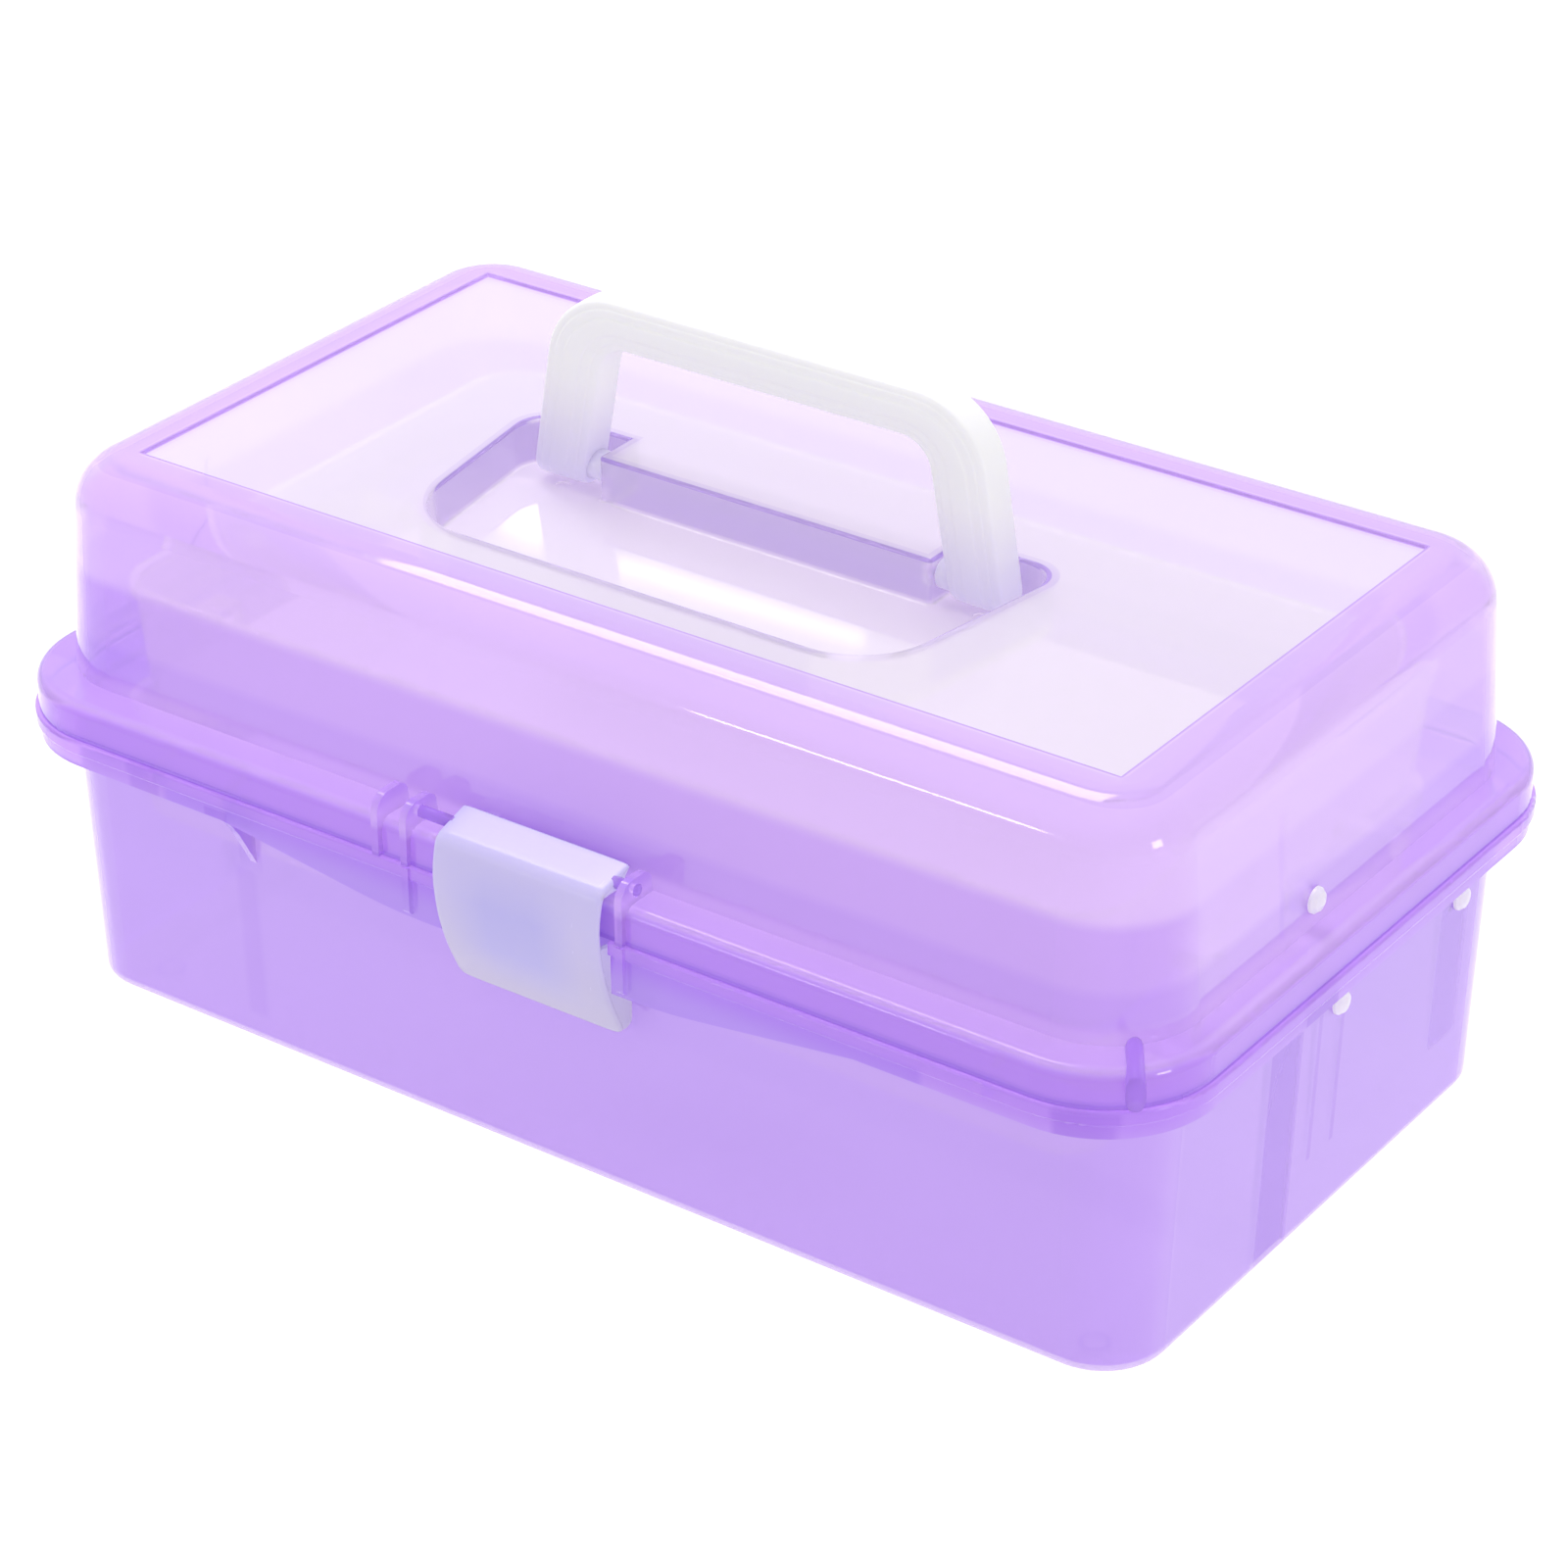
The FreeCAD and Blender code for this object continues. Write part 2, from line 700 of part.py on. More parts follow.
for name, start in (
    ("right", "hinge_x - lid_knuckle_length / 2"),
    ("left", "-hinge_x - lid_knuckle_length / 2"),
):
    plate(
        lid,
        "lid_web_" + name,
        [
            ("rim_half_width - skirt_inset - 1", "hinge_z - 0.7"),
            ("hinge_y", "hinge_z - 0.7"),
            ("hinge_y", "hinge_z + knuckle_radius - 0.4"),
            ("rim_half_width - skirt_inset - 1", "hinge_z + knuckle_radius + 2"),
        ],
        start,
        "lid_knuckle_length",
    )
    stud(
        lid,
        "lid_knuckle_" + name,
        hinge_centre,
        "knuckle_radius",
        start,
        "lid_knuckle_length",
    )
bore(
    lid,
    "lid_hinge_bore",
    hinge_centre,
    "hinge_pin_radius + running_gap",
    "0",
    "2 * rim_half_length",
)
rib_foot = "lid_foot_half_length - wall_thickness - 2 * tan(lid_draft)"
rib_head = "lid_foot_half_length - wall_thickness - 32 * tan(lid_draft)"
for side, sign in (("right", ""), ("left", "-")):
    sketch = new_sketch(lid, "end_rib_" + side, "XZ_Plane", "25.2")
    add_outline(
        sketch,
        [
            ("%s(%s - 0.9)" % (sign, rib_foot), "rim_height + lid_skirt_height + 2"),
            ("%s(%s + 0.6)" % (sign, rib_foot), "rim_height + lid_skirt_height + 2"),
            ("%s(%s + 0.6)" % (sign, rib_head), "rim_height + lid_skirt_height + 32"),
            ("%s(%s - 0.9)" % (sign, rib_head), "rim_height + lid_skirt_height + 32"),
        ],
    )
    pad(lid, sketch, "1.6")

# Handle
handle = new_body("handle")
sketch = new_sketch(handle, "bail", "XZ_Plane", "-(handle_pivot_y + handle_depth / 2)")
grip_bottom = "handle_top - grip_thickness"
add_outline(
    sketch,
    [
        ("-handle_foot_half", "handle_foot"),
        ("-handle_inner_foot", "handle_foot"),
        ("-handle_inner_top", grip_bottom, "handle_inner_corner"),
        ("handle_inner_top", grip_bottom, "handle_inner_corner"),
        ("handle_inner_foot", "handle_foot"),
        ("handle_foot_half", "handle_foot"),
        ("handle_top_half", "handle_top", "handle_corner"),
        ("-handle_top_half", "handle_top", "handle_corner"),
    ],
)
pad(handle, sketch, "handle_depth")


def along_x_at_foot(edge):
    box = edge.BoundBox
    foot = value("handle_foot")
    return box.XLength > 5 and abs(box.ZMin - foot) < 0.01 and abs(box.ZMax - foot) < 0.01


def not_across_the_foot(edge):
    box = edge.BoundBox
    return box.ZMin > value("handle_foot + handle_depth / 2 + 1") or box.XLength < 5


round_edges(handle, "foot_ends", "handle_depth / 2 - 0.15", along_x_at_foot)
round_edges(handle, "handle_rounding", "handle_round", not_across_the_foot)
handle_pivot = ("handle_pivot_y", "handle_pivot_z")
inner_at_pivot = (
    "handle_inner_foot + (handle_inner_top - handle_inner_foot) "
    "* (handle_pivot_z - handle_foot) / (handle_top - grip_thickness - handle_foot)"
)
for name, start, length in (
    ("collar_right", "block_half + 0.4", "%s - block_half + 1.6" % inner_at_pivot),
    ("collar_left", "-(%s + 2)" % inner_at_pivot, "%s - block_half + 1.6" % inner_at_pivot),
):
    stud(handle, name, handle_pivot, "handle_stub_radius + 1.8", start, length)
for name, start, length in (
    ("stub_right", "block_half - wall_thickness - 0.4", "%s - block_half + 4" % inner_at_pivot),
    (
        "stub_left",
        "-(%s + 4 - wall_thickness - 0.4)" % inner_at_pivot,
        "%s - block_half + 4" % inner_at_pivot,
    ),
):
    stud(handle, name, handle_pivot, "handle_stub_radius", start, length)

# Latch
latch = new_body("latch")
outer_face = [
    ("latch_pivot_y + 4.7", "latch_pivot_z + 2.9"),
    ("latch_pivot_y - 6.4", "latch_pivot_z - 0.2", "4"),
    ("latch_pivot_y - 8.4", "latch_pivot_z - 9.1", "30"),
    ("latch_pivot_y - 7.2", "latch_pivot_z - 20.1", "60"),
    ("latch_pivot_y - 4.2", "latch_pivot_z - 30.1", "60"),
    ("latch_pivot_y + 0.7", "latch_pivot_z - 40.4"),
]
inner_face = [
    ("latch_pivot_y + 2.4", "latch_pivot_z - 40.2"),
    ("latch_pivot_y - 2.4", "latch_pivot_z - 29.6", "58"),
    ("latch_pivot_y - 5.4", "latch_pivot_z - 19.8", "58"),
    ("latch_pivot_y - 6.5", "latch_pivot_z - 9.4", "28"),
    ("latch_pivot_y - 4.8", "latch_pivot_z - 2.0", "2.2"),
    ("latch_pivot_y + 4.3", "latch_pivot_z + 1.2"),
]
plate(latch, "face", outer_face + inner_face, "latch_left", "latch_right - latch_left")
lower_cheek = [
    ("latch_pivot_y - 0.1", "latch_pivot_z - 40.2"),
    ("latch_pivot_y + 4.6", "latch_pivot_z - 39.8", "3"),
    ("latch_pivot_y + 4.8", "latch_pivot_z - 16.6", "2"),
    ("latch_pivot_y - 6.4", "latch_pivot_z - 14.2"),
    ("latch_pivot_y - 6.0", "latch_pivot_z - 20.6"),
    ("latch_pivot_y - 3.2", "latch_pivot_z - 30.1"),
]
upper_cheek = [
    ("latch_pivot_y - 6.0", "latch_pivot_z - 2.0"),
    ("latch_pivot_y + 2.0", "latch_pivot_z - 2.0", "1.9"),
    ("latch_pivot_y + 4.1", "latch_pivot_z + 1.9"),
    ("latch_pivot_y - 5.4", "latch_pivot_z - 0.8"),
]
for name, start in (("left", "latch_left"), ("right", "latch_right - latch_cheek")):
    plate(latch, "lower_cheek_" + name, lower_cheek, start, "latch_cheek")
    plate(latch, "upper_cheek_" + name, upper_cheek, start, "latch_cheek")
latch_pivot = ("latch_pivot_y", "latch_pivot_z")
stud(
    latch,
    "latch_stub_left",
    latch_pivot,
    "latch_stub_radius",
    "ear_left_x - ear_thickness / 2 - 0.5",
    "latch_left - ear_left_x + ear_thickness / 2 + 1.5",
)
stud(
    latch,
    "latch_stub_right",
    latch_pivot,
    "latch_stub_radius",
    "latch_right - 1",
    "ear_right_x + ear_thickness / 2 + 1.5 - latch_right",
)


def make_tray(label, centre_y, foot_z):
    """An open tray with drafted walls and a lip round its rim."""
    body = new_body(label)
    grown = "tray_height * tan(tray_draft)"
    half_x = "tray_half_length - tray_lip - %s" % grown
    half_y = "tray_half_width - tray_lip - %s" % grown
    corner = "tray_corner - tray_lip - %s" % grown
    sketch = new_sketch(body, label + "_wall", "XY_Plane", foot_z)
    add_outline(sketch, box_corners(half_x, half_y, corner, centre_y))
    pad(body, sketch, "tray_height", "tray_draft")
    round_edges(body, label + "_rounding", "1.6", at_height(value(foot_z)))
    sketch = new_sketch(
        body, label + "_lip", "XY_Plane", "%s + tray_height - tray_lip_height" % foot_z
    )
    add_outline(
        sketch, box_corners("tray_half_length", "tray_half_width", "tray_corner", centre_y)
    )
    pad(body, sketch, "tray_lip_height")
    sketch = new_sketch(body, label + "_cavity", "XY_Plane", "%s + tray_floor" % foot_z)
    inset = "tray_lip + tray_wall + (tray_height - tray_floor) * tan(tray_draft)"
    add_outline(
        sketch,
        box_corners(
            "tray_half_length - (%s)" % inset,
            "tray_half_width - (%s)" % inset,
            "tray_corner - (%s)" % inset,
            centre_y,
        ),
    )
    pocket(body, sketch, "tray_height - tray_floor + 1", "tray_draft", reverse=True)
    return body


def tray_wall_at(height, foot_z):
    """How far the outside of a tray's end wall is from the middle at a height."""
    return "tray_half_length - tray_lip - (%s + tray_height - (%s)) * tan(tray_draft)" % (
        foot_z,
        height,
    )


lower_tray = make_tray("lower_tray", "lower_tray_y", "lower_tray_z")
wall = tray_wall_at(LOWER_FRONT_PIN[1], "lower_tray_z") + " - tray_wall / 2"
both_ends(lower_tray, "lower_front_boss", LOWER_FRONT_PIN, "boss_radius", wall,
          "outer_plane - side_gap")
both_ends(lower_tray, "lower_rear_boss", LOWER_REAR_PIN, "boss_radius", wall,
          "inner_plane - side_gap")
blind = "tray_half_length - 1.5"
for name, pin, outer in (
    ("front", LOWER_FRONT_PIN, "outer_plane"),
    ("rear", LOWER_REAR_PIN, "inner_plane"),
):
    for side, start in (("right", blind), ("left", "-(%s)" % outer)):
        sketch = new_sketch(lower_tray, "lower_%s_bore_%s" % (name, side), "YZ_Plane", start)
        add_circle(sketch, pin, "shank_radius")
        pocket(lower_tray, sketch, "%s - (%s)" % (outer, blind), reverse=True)

upper_tray = make_tray("upper_tray", "upper_tray_y", "upper_tray_z")
wall = tray_wall_at("link_pin_z", "upper_tray_z") + " - tray_wall / 2"
both_ends(upper_tray, "link_boss", LINK_PIN, "boss_radius", wall, "outer_plane - 2 * side_gap")
lug_outer = "inner_plane - side_gap"
lug_inner = "inner_plane - side_gap - arm_thickness"
lug_low = UPPER_PIN[1] + " - lug_width / 2"
lug_front = UPPER_PIN[0] + " - lug_width / 2"
lug_rear = UPPER_PIN[0] + " + lug_width / 2"
lug = [
    (lug_front, lug_low, "lug_width / 2 - 0.1"),
    (lug_rear, lug_low, "lug_width / 2 - 0.1"),
    (lug_rear, "upper_tray_z + 8"),
    (lug_front, "upper_tray_z + 8"),
]
bracket = [
    (lug_front, "upper_tray_z + 3"),
    (lug_rear, "upper_tray_z + 3"),
    (lug_rear, "upper_tray_z + 8"),
    (lug_front, "upper_tray_z + 8"),
]
bracket_length = "%s - (%s)" % (lug_outer, wall)
for side, start, begin in (
    ("right", lug_inner, wall),
    ("left", "-(%s)" % lug_outer, "-(%s)" % lug_outer),
):
    plate(upper_tray, "bracket_" + side, bracket, begin, bracket_length)
    plate(upper_tray, "lug_" + side, lug, start, "arm_thickness")
    sketch = new_sketch(upper_tray, "lug_bore_" + side, "YZ_Plane", start)
    add_circle(sketch, UPPER_PIN, "shank_radius")
    pocket(upper_tray, sketch, "arm_thickness", reverse=True)
for side, start in (("right", "tray_half_length + 3"), ("left", "-(outer_plane)")):
    sketch = new_sketch(upper_tray, "link_bore_" + side, "YZ_Plane", start)
    add_circle(sketch, LINK_PIN, "shank_radius - 0.4")
    pocket(upper_tray, sketch, "outer_plane - tray_half_length - 3", reverse=True)


def make_arm(label, start, pins, eye_radii):
    """A flat arm with round ends and an eye for each of its pins."""
    body = new_body(label)
    sketch = new_sketch(body, label + "_outline", "YZ_Plane", start)
    first = V(value(pins[0][0]), value(pins[0][1]), 0)
    last = V(value(pins[-1][0]), value(pins[-1][1]), 0)
    half = value("arm_width / 2")
    way = (last - first).normalize()
    side = V(-way.y, way.x, 0) * half
    sketch.addGeometry(Part.LineSegment(first - side, last - side), False)
    sketch.addGeometry(Part.Arc(last - side, last + way * half, last + side), False)
    sketch.addGeometry(Part.LineSegment(last + side, first + side), False)
    sketch.addGeometry(Part.Arc(first + side, first - way * half, first - side), False)
    for one, two in ((0, 1), (1, 2), (2, 3), (3, 0)):
        sketch.addConstraint(Sketcher.Constraint("Tangent", one, 2, two, 1))
    sketch.addConstraint(Sketcher.Constraint("Equal", 1, 3))
    fix_number(sketch, Sketcher.Constraint("Radius", 1, half), "end_radius", "arm_width / 2")
    fix_point(sketch, 3, 3, "first_pin", pins[0][0], pins[0][1])
    fix_point(sketch, 1, 3, "last_pin", pins[-1][0], pins[-1][1])
    for pin, radius in zip(pins, eye_radii):
        add_circle(sketch, pin, radius)
    pad(body, sketch, "arm_thickness")
    return body


def make_rivet(label, side, pin, runs):
    """A turned rivet along X through runs (start, end, start radius, end radius)."""
    body = new_body(label)
    sketch = new_sketch(body, label + "_profile", "XY_Plane", "0")
    corners = [(runs[0][0], "0")]
    for start, end, first_radius, last_radius in runs:
        corners.append((start, first_radius))
        corners.append((end, last_radius))
    corners.append((runs[-1][1], "0"))
    unique = [corners[0]]
    for corner in corners[1:]:
        if corner != unique[-1]:
            unique.append(corner)
    add_outline(sketch, unique)
    feature = body.newObject("PartDesign::Revolution", label + "_turned")
    feature.Profile = sketch
    feature.ReferenceAxis = (sketch, ["H_Axis"])
    feature.Angle = 360
    turn = 0 if side == "right" else 180
    body.Placement = FreeCAD.Placement(
        V(0, value(pin[0] + " - frame_shift"), value(pin[1])), FreeCAD.Rotation(V(0, 0, 1), turn)
    )
    body.setExpression("Placement.Base.y", bound(pin[0] + " - frame_shift"))
    body.setExpression("Placement.Base.z", bound(pin[1]))
    doc.recompute()
    return body


def dome(seat):
    """A domed head that stands out from a seat."""
    return [
        (seat, "%s + dome_height * 0.3" % seat, "head_radius", "head_radius * 0.98"),
        (
            "%s + dome_height * 0.3" % seat,
            "%s + dome_height * 0.75" % seat,
            "head_radius * 0.98",
            "head_radius * 0.72",
        ),
        (
            "%s + dome_height * 0.75" % seat,
            "%s + dome_height" % seat,
            "head_radius * 0.72",
            "head_radius * 0.3",
        ),
    ]


def shank(start, end):
    return (start, end, "shank_radius", "shank_radius")


def head(start):
    return (start, "%s + head_thickness" % start, "head_radius", "head_radius")


outer_arm_head = "outer_plane + arm_thickness + side_gap"
inner_arm_head = "inner_plane + arm_thickness + side_gap"
under_outer = "outer_plane - side_gap"
under_inner = "inner_plane - side_gap"
base_seat = "foot_half_length + (base_pin_z + head_radius) * tan(tub_draft) + 0.02"
lid_seat = wall_at_lid_pin.replace("lid_pin_z", "(lid_pin_z - head_radius)") + " + 0.02"

for side in ("left", "right"):
    right = side == "right"
    outer_start = "outer_plane" if right else "-(outer_plane + arm_thickness)"
    inner_start = "inner_plane" if right else "-(inner_plane + arm_thickness)"
    make_arm("front_arm_" + side, outer_start, [FRONT_PIN, LOWER_FRONT_PIN], [EYE_RADIUS] * 2)
    make_arm(
        "rear_arm_" + side,
        inner_start,
        [REAR_PIN, LOWER_REAR_PIN, UPPER_PIN],
        [EYE_RADIUS] * 3,
    )
    make_arm("lid_link_" + side, outer_start, [LID_PIN, LINK_PIN], [EYE_RADIUS, "shank_radius"])
    make_rivet(
        "base_front_rivet_" + side,
        side,
        FRONT_PIN,
        [head(under_outer + " - head_thickness"), shank(under_outer, base_seat)]
        + dome(base_seat),
    )
    make_rivet(
        "base_rear_rivet_" + side,
        side,
        REAR_PIN,
        [head(under_inner + " - head_thickness"), shank(under_inner, base_seat)]
        + dome(base_seat),
    )
    make_rivet(
        "lid_rivet_" + side,
        side,
        LID_PIN,
        [head(under_outer + " - head_thickness"), shank(under_outer, lid_seat)]
        + dome(lid_seat),
    )
    make_rivet(
        "lower_front_rivet_" + side,
        side,
        LOWER_FRONT_PIN,
        [shank(blind, outer_arm_head), head(outer_arm_head)],
    )
    make_rivet(
        "lower_rear_rivet_" + side,
        side,
        LOWER_REAR_PIN,
        [shank(blind, inner_arm_head), head(inner_arm_head)],
    )
    make_rivet(
        "upper_rivet_" + side,
        side,
        UPPER_PIN,
        [
            head(lug_inner + " - head_thickness"),
            shank(lug_inner, inner_arm_head),
            head(inner_arm_head),
        ],
    )
    make_rivet(
        "link_rivet_" + side,
        side,
        LINK_PIN,
        [shank("outer_plane - side_gap / 2", "outer_plane + arm_thickness"),
         head("outer_plane + arm_thickness")],
    )
    body = new_body("hinge_pin_" + side)
    middle = "hinge_x" if right else "-hinge_x"
    stud(
        body,
        "pin_" + side,
        hinge_centre,
        "hinge_pin_radius",
        middle + " - hinge_pin_length / 2",
        "hinge_pin_length",
    )

doc.recompute()
os.makedirs("parts", exist_ok=True)
faults = [i.Label for i in doc.Objects if "Invalid" in i.State or "Error" in i.State]
if faults:
    raise RuntimeError("not valid: " + ", ".join(faults))
for item in doc.Objects:
    if item.TypeId == "PartDesign::Body":
        if item.Shape.isNull() or not item.Shape.isValid():
            raise RuntimeError("%s has no valid shape" % item.Label)
        if len(item.Shape.Solids) != 1:
            raise RuntimeError("%s is %d solids" % (item.Label, len(item.Shape.Solids)))
        item.Shape.exportStep("parts/%s.step" % item.Label)
        box = item.Shape.BoundBox
        print(
            "%-26s %9.1f mm3  x %7.2f %7.2f  y %7.2f %7.2f  z %7.2f %7.2f"
            % (item.Label, item.Shape.Volume, box.XMin, box.XMax, box.YMin, box.YMax,
               box.ZMin, box.ZMax)
        )
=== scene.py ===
import math

import bmesh
import bpy
import numpy as np
from mathutils import Matrix, Vector


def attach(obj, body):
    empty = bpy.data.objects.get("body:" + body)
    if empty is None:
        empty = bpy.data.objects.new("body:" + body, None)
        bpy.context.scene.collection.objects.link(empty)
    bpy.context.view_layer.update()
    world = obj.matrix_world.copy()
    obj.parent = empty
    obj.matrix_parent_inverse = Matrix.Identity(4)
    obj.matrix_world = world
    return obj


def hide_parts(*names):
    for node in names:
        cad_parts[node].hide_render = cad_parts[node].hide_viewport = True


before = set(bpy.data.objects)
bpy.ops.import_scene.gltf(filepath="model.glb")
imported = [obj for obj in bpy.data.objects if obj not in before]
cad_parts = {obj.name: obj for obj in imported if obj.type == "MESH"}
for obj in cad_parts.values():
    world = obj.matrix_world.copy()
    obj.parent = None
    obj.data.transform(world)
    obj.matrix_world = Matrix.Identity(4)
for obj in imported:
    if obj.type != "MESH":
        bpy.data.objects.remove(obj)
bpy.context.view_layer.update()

MM = 0.001
# Sizes below are in millimetres, and their Y is this much more than the frame's
FRAME_SHIFT = 2.08
# Points of a mesh this close together, in metres, become one
SEAM = 1e-7

# Studio light: the world's strength, the floor's lift where the camera sees it and its colour
WORLD_LEVEL = 0.8
FLOOR_LIFT = 0.3
FLOOR_COLOUR = (0.9, 0.9, 0.9, 1)
# Where the lamps point, in metres
LAMP_TARGET = (0, 0, 0.07)

# Clear plastic: a low refractive index, since thin walls hardly bend the view through them,
# and the colour that light takes on inside a wall
CLEAR_IOR = 1.3
ABSORB_COLOUR = (205, 145, 245)
# Light caught inside a wall: after how many turns it leaves, and in which colour
CAUGHT_DEPTH = 11.5
CAUGHT_COLOUR = (176, 132, 236)
# Milky plastic: the share of light that sinks in, and how far each colour spreads, in metres
MILKY_SHARE = 0.4
MILKY_SPREAD = (0.004, 0.004, 0.005)

# Camera fitted to the photograph: angles in degrees, distances in millimetres
CAMERA_AZIMUTH = 35.55
CAMERA_ELEVATION = 29.21
CAMERA_ROLL = -0.13
CAMERA_TARGET = (3.48, -FRAME_SHIFT, 65.79)
CAMERA_DISTANCE = 1141.16
FOCAL_PIXELS = 4853.96
FRAME_PIXELS = 1600
SENSOR = 36.0


def new_material(name):
    """An empty node material with its output."""
    material = bpy.data.materials.new(name)
    material.use_nodes = True
    material.node_tree.nodes.clear()
    return material, material.node_tree


def add_node(tree, kind, **settings):
    """A node with its properties, or its inputs, set by name."""
    node = tree.nodes.new(kind)
    for key, setting in settings.items():
        if hasattr(node, key):
            setattr(node, key, setting)
        else:
            node.inputs[key.replace("_", " ")].default_value = setting
    return node


def srgb(red, green, blue):
    """A colour given as the eye reads it (0 to 255), turned into scene-linear values."""
    def linear(c):
        c = c / 255
        return c / 12.92 if c <= 0.04045 else ((c + 0.055) / 1.055) ** 2.4
    return (linear(red), linear(green), linear(blue), 1.0)


def math_node(tree, operation, *values):
    """A math node whose inputs are sockets or numbers."""
    node = tree.nodes.new("ShaderNodeMath")
    node.operation = operation
    for slot, given in enumerate(values):
        if isinstance(given, (int, float)):
            node.inputs[slot].default_value = given
        else:
            tree.links.new(given, node.inputs[slot])
    return node.outputs[0]


def blend_colours(tree, share, first, second):
    """A colour mix; share, first and second are sockets or values.

    The node has sockets for numbers, vectors and colours: the share is its input 0, the two
    colours are its inputs 6 and 7, and the mixed colour is its output 2.
    """
    node = add_node(tree, "ShaderNodeMix", data_type="RGBA")
    for slot, given in ((0, share), (6, first), (7, second)):
        if hasattr(given, "is_output"):
            tree.links.new(given, node.inputs[slot])
        else:
            node.inputs[slot].default_value = given
    return node.outputs[2]


def new_group(name, inputs, outputs):
    """A shader node group with named number inputs, each with its default, and number outputs."""
    group = bpy.data.node_groups.new(name, "ShaderNodeTree")
    for label, default in inputs:
        socket = group.interface.new_socket(label, in_out="INPUT", socket_type="NodeSocketFloat")
        socket.default_value = default
    for label in outputs:
        group.interface.new_socket(label, in_out="OUTPUT", socket_type="NodeSocketFloat")
    return group, group.nodes.new("NodeGroupInput"), group.nodes.new("NodeGroupOutput")


def moulded_skin():
    """Moulded plastic: wide soft flow marks, and the height of its skin.

    Flow is low noise stretched along X. Height is Flow plus a share of a fine noise.
    """
    group, given, result = new_group(
        "moulded_skin", [("Flow Scale", 14.0), ("Skin Scale", 900.0), ("Skin Share", 0.3)],
        ["Flow", "Height"],
    )
    place = group.nodes.new("ShaderNodeTexCoord").outputs["Object"]
    stretch = add_node(group, "ShaderNodeMapping", Scale=(0.5, 1.0, 1.3))
    group.links.new(place, stretch.inputs["Vector"])
    flow = add_node(group, "ShaderNodeTexNoise", Detail=2.0, Roughness=0.45)
    group.links.new(stretch.outputs["Vector"], flow.inputs["Vector"])
    group.links.new(given.outputs["Flow Scale"], flow.inputs["Scale"])
    skin_noise = add_node(group, "ShaderNodeTexNoise", Detail=2.0)
    group.links.new(place, skin_noise.inputs["Vector"])
    group.links.new(given.outputs["Skin Scale"], skin_noise.inputs["Scale"])
    fine = math_node(group, "MULTIPLY", skin_noise.outputs["Fac"], given.outputs["Skin Share"])
    height = math_node(group, "ADD", flow.outputs["Fac"], fine)
    group.links.new(flow.outputs["Fac"], result.inputs["Flow"])
    group.links.new(height, result.inputs["Height"])
    return group


def handling_scuffs():
    """Fine hairline scuffs: thin bright lines of a stretched wave noise, broken into patches."""
    group, given, result = new_group(
        "handling_scuffs", [("Scale", 60.0), ("Amount", 0.5)], ["Scuffs"]
    )
    place = group.nodes.new("ShaderNodeTexCoord").outputs["Object"]
    masks = []
    for turn, stretch in ((0.5, (1.0, 16.0, 5.0)), (-0.9, (14.0, 1.0, 4.0))):
        mapping = add_node(group, "ShaderNodeMapping", Rotation=(0.0, 0.2, turn), Scale=stretch)
        group.links.new(place, mapping.inputs["Vector"])
        noise = add_node(group, "ShaderNodeTexNoise", Detail=3.0, Roughness=0.6)
        group.links.new(mapping.outputs["Vector"], noise.inputs["Vector"])
        group.links.new(given.outputs["Scale"], noise.inputs["Scale"])
        line = add_node(group, "ShaderNodeMapRange", From_Min=0.66, From_Max=0.74)
        group.links.new(noise.outputs["Fac"], line.inputs["Value"])
        masks.append(line.outputs["Result"])
    patch = add_node(group, "ShaderNodeTexNoise", Scale=9.0, Detail=1.0)
    group.links.new(place, patch.inputs["Vector"])
    patches = add_node(group, "ShaderNodeMapRange", From_Min=0.45, From_Max=0.65)
    group.links.new(patch.outputs["Fac"], patches.inputs["Value"])
    lines = math_node(group, "MAXIMUM", *masks)
    there = math_node(group, "MULTIPLY", lines, patches.outputs["Result"])
    group.links.new(
        math_node(group, "MULTIPLY", there, given.outputs["Amount"]), result.inputs["Scuffs"]
    )
    return group


def level_band():
    """How far a point lies from a low to a high level of Z, softly from 0 to 1."""
    group, given, result = new_group("level_band", [("Low", 0.06), ("High", 0.14)], ["Share"])
    place = group.nodes.new("ShaderNodeTexCoord").outputs["Object"]
    parts = group.nodes.new("ShaderNodeSeparateXYZ")
    group.links.new(place, parts.inputs["Vector"])
    ramp = add_node(group, "ShaderNodeMapRange", interpolation_type="SMOOTHSTEP")
    group.links.new(parts.outputs["Z"], ramp.inputs["Value"])
    group.links.new(given.outputs["Low"], ramp.inputs["From Min"])
    group.links.new(given.outputs["High"], ramp.inputs["From Max"])
    group.links.new(ramp.outputs["Result"], result.inputs["Share"])
    return group


def thick_place():
    """1 inside a box between two corners, in metres, with a soft edge, and 0 outside.

    Along each axis the share falls from 1 to 0 over the edge, and the three are multiplied.
    """
    axes = ("X", "Y", "Z")
    inputs = [("%s %s" % (end, axis), 0.0) for axis in axes for end in ("Low", "High")]
    group, given, result = new_group("thick_place", inputs + [("Edge", 0.0006)], ["Share"])
    place = group.nodes.new("ShaderNodeTexCoord").outputs["Object"]
    parts = group.nodes.new("ShaderNodeSeparateXYZ")
    group.links.new(place, parts.inputs["Vector"])
    share = None
    for axis in axes:
        above = math_node(group, "SUBTRACT", parts.outputs[axis], given.outputs["Low " + axis])
        below = math_node(group, "SUBTRACT", given.outputs["High " + axis], parts.outputs[axis])
        inside = math_node(group, "MINIMUM", above, below)
        step = math_node(group, "DIVIDE", inside, given.outputs["Edge"])
        soft = math_node(group, "ADD", step, 0.5)
        soft.node.use_clamp = True
        share = soft if share is None else math_node(group, "MULTIPLY", share, soft)
    group.links.new(share, result.inputs["Share"])
    return group


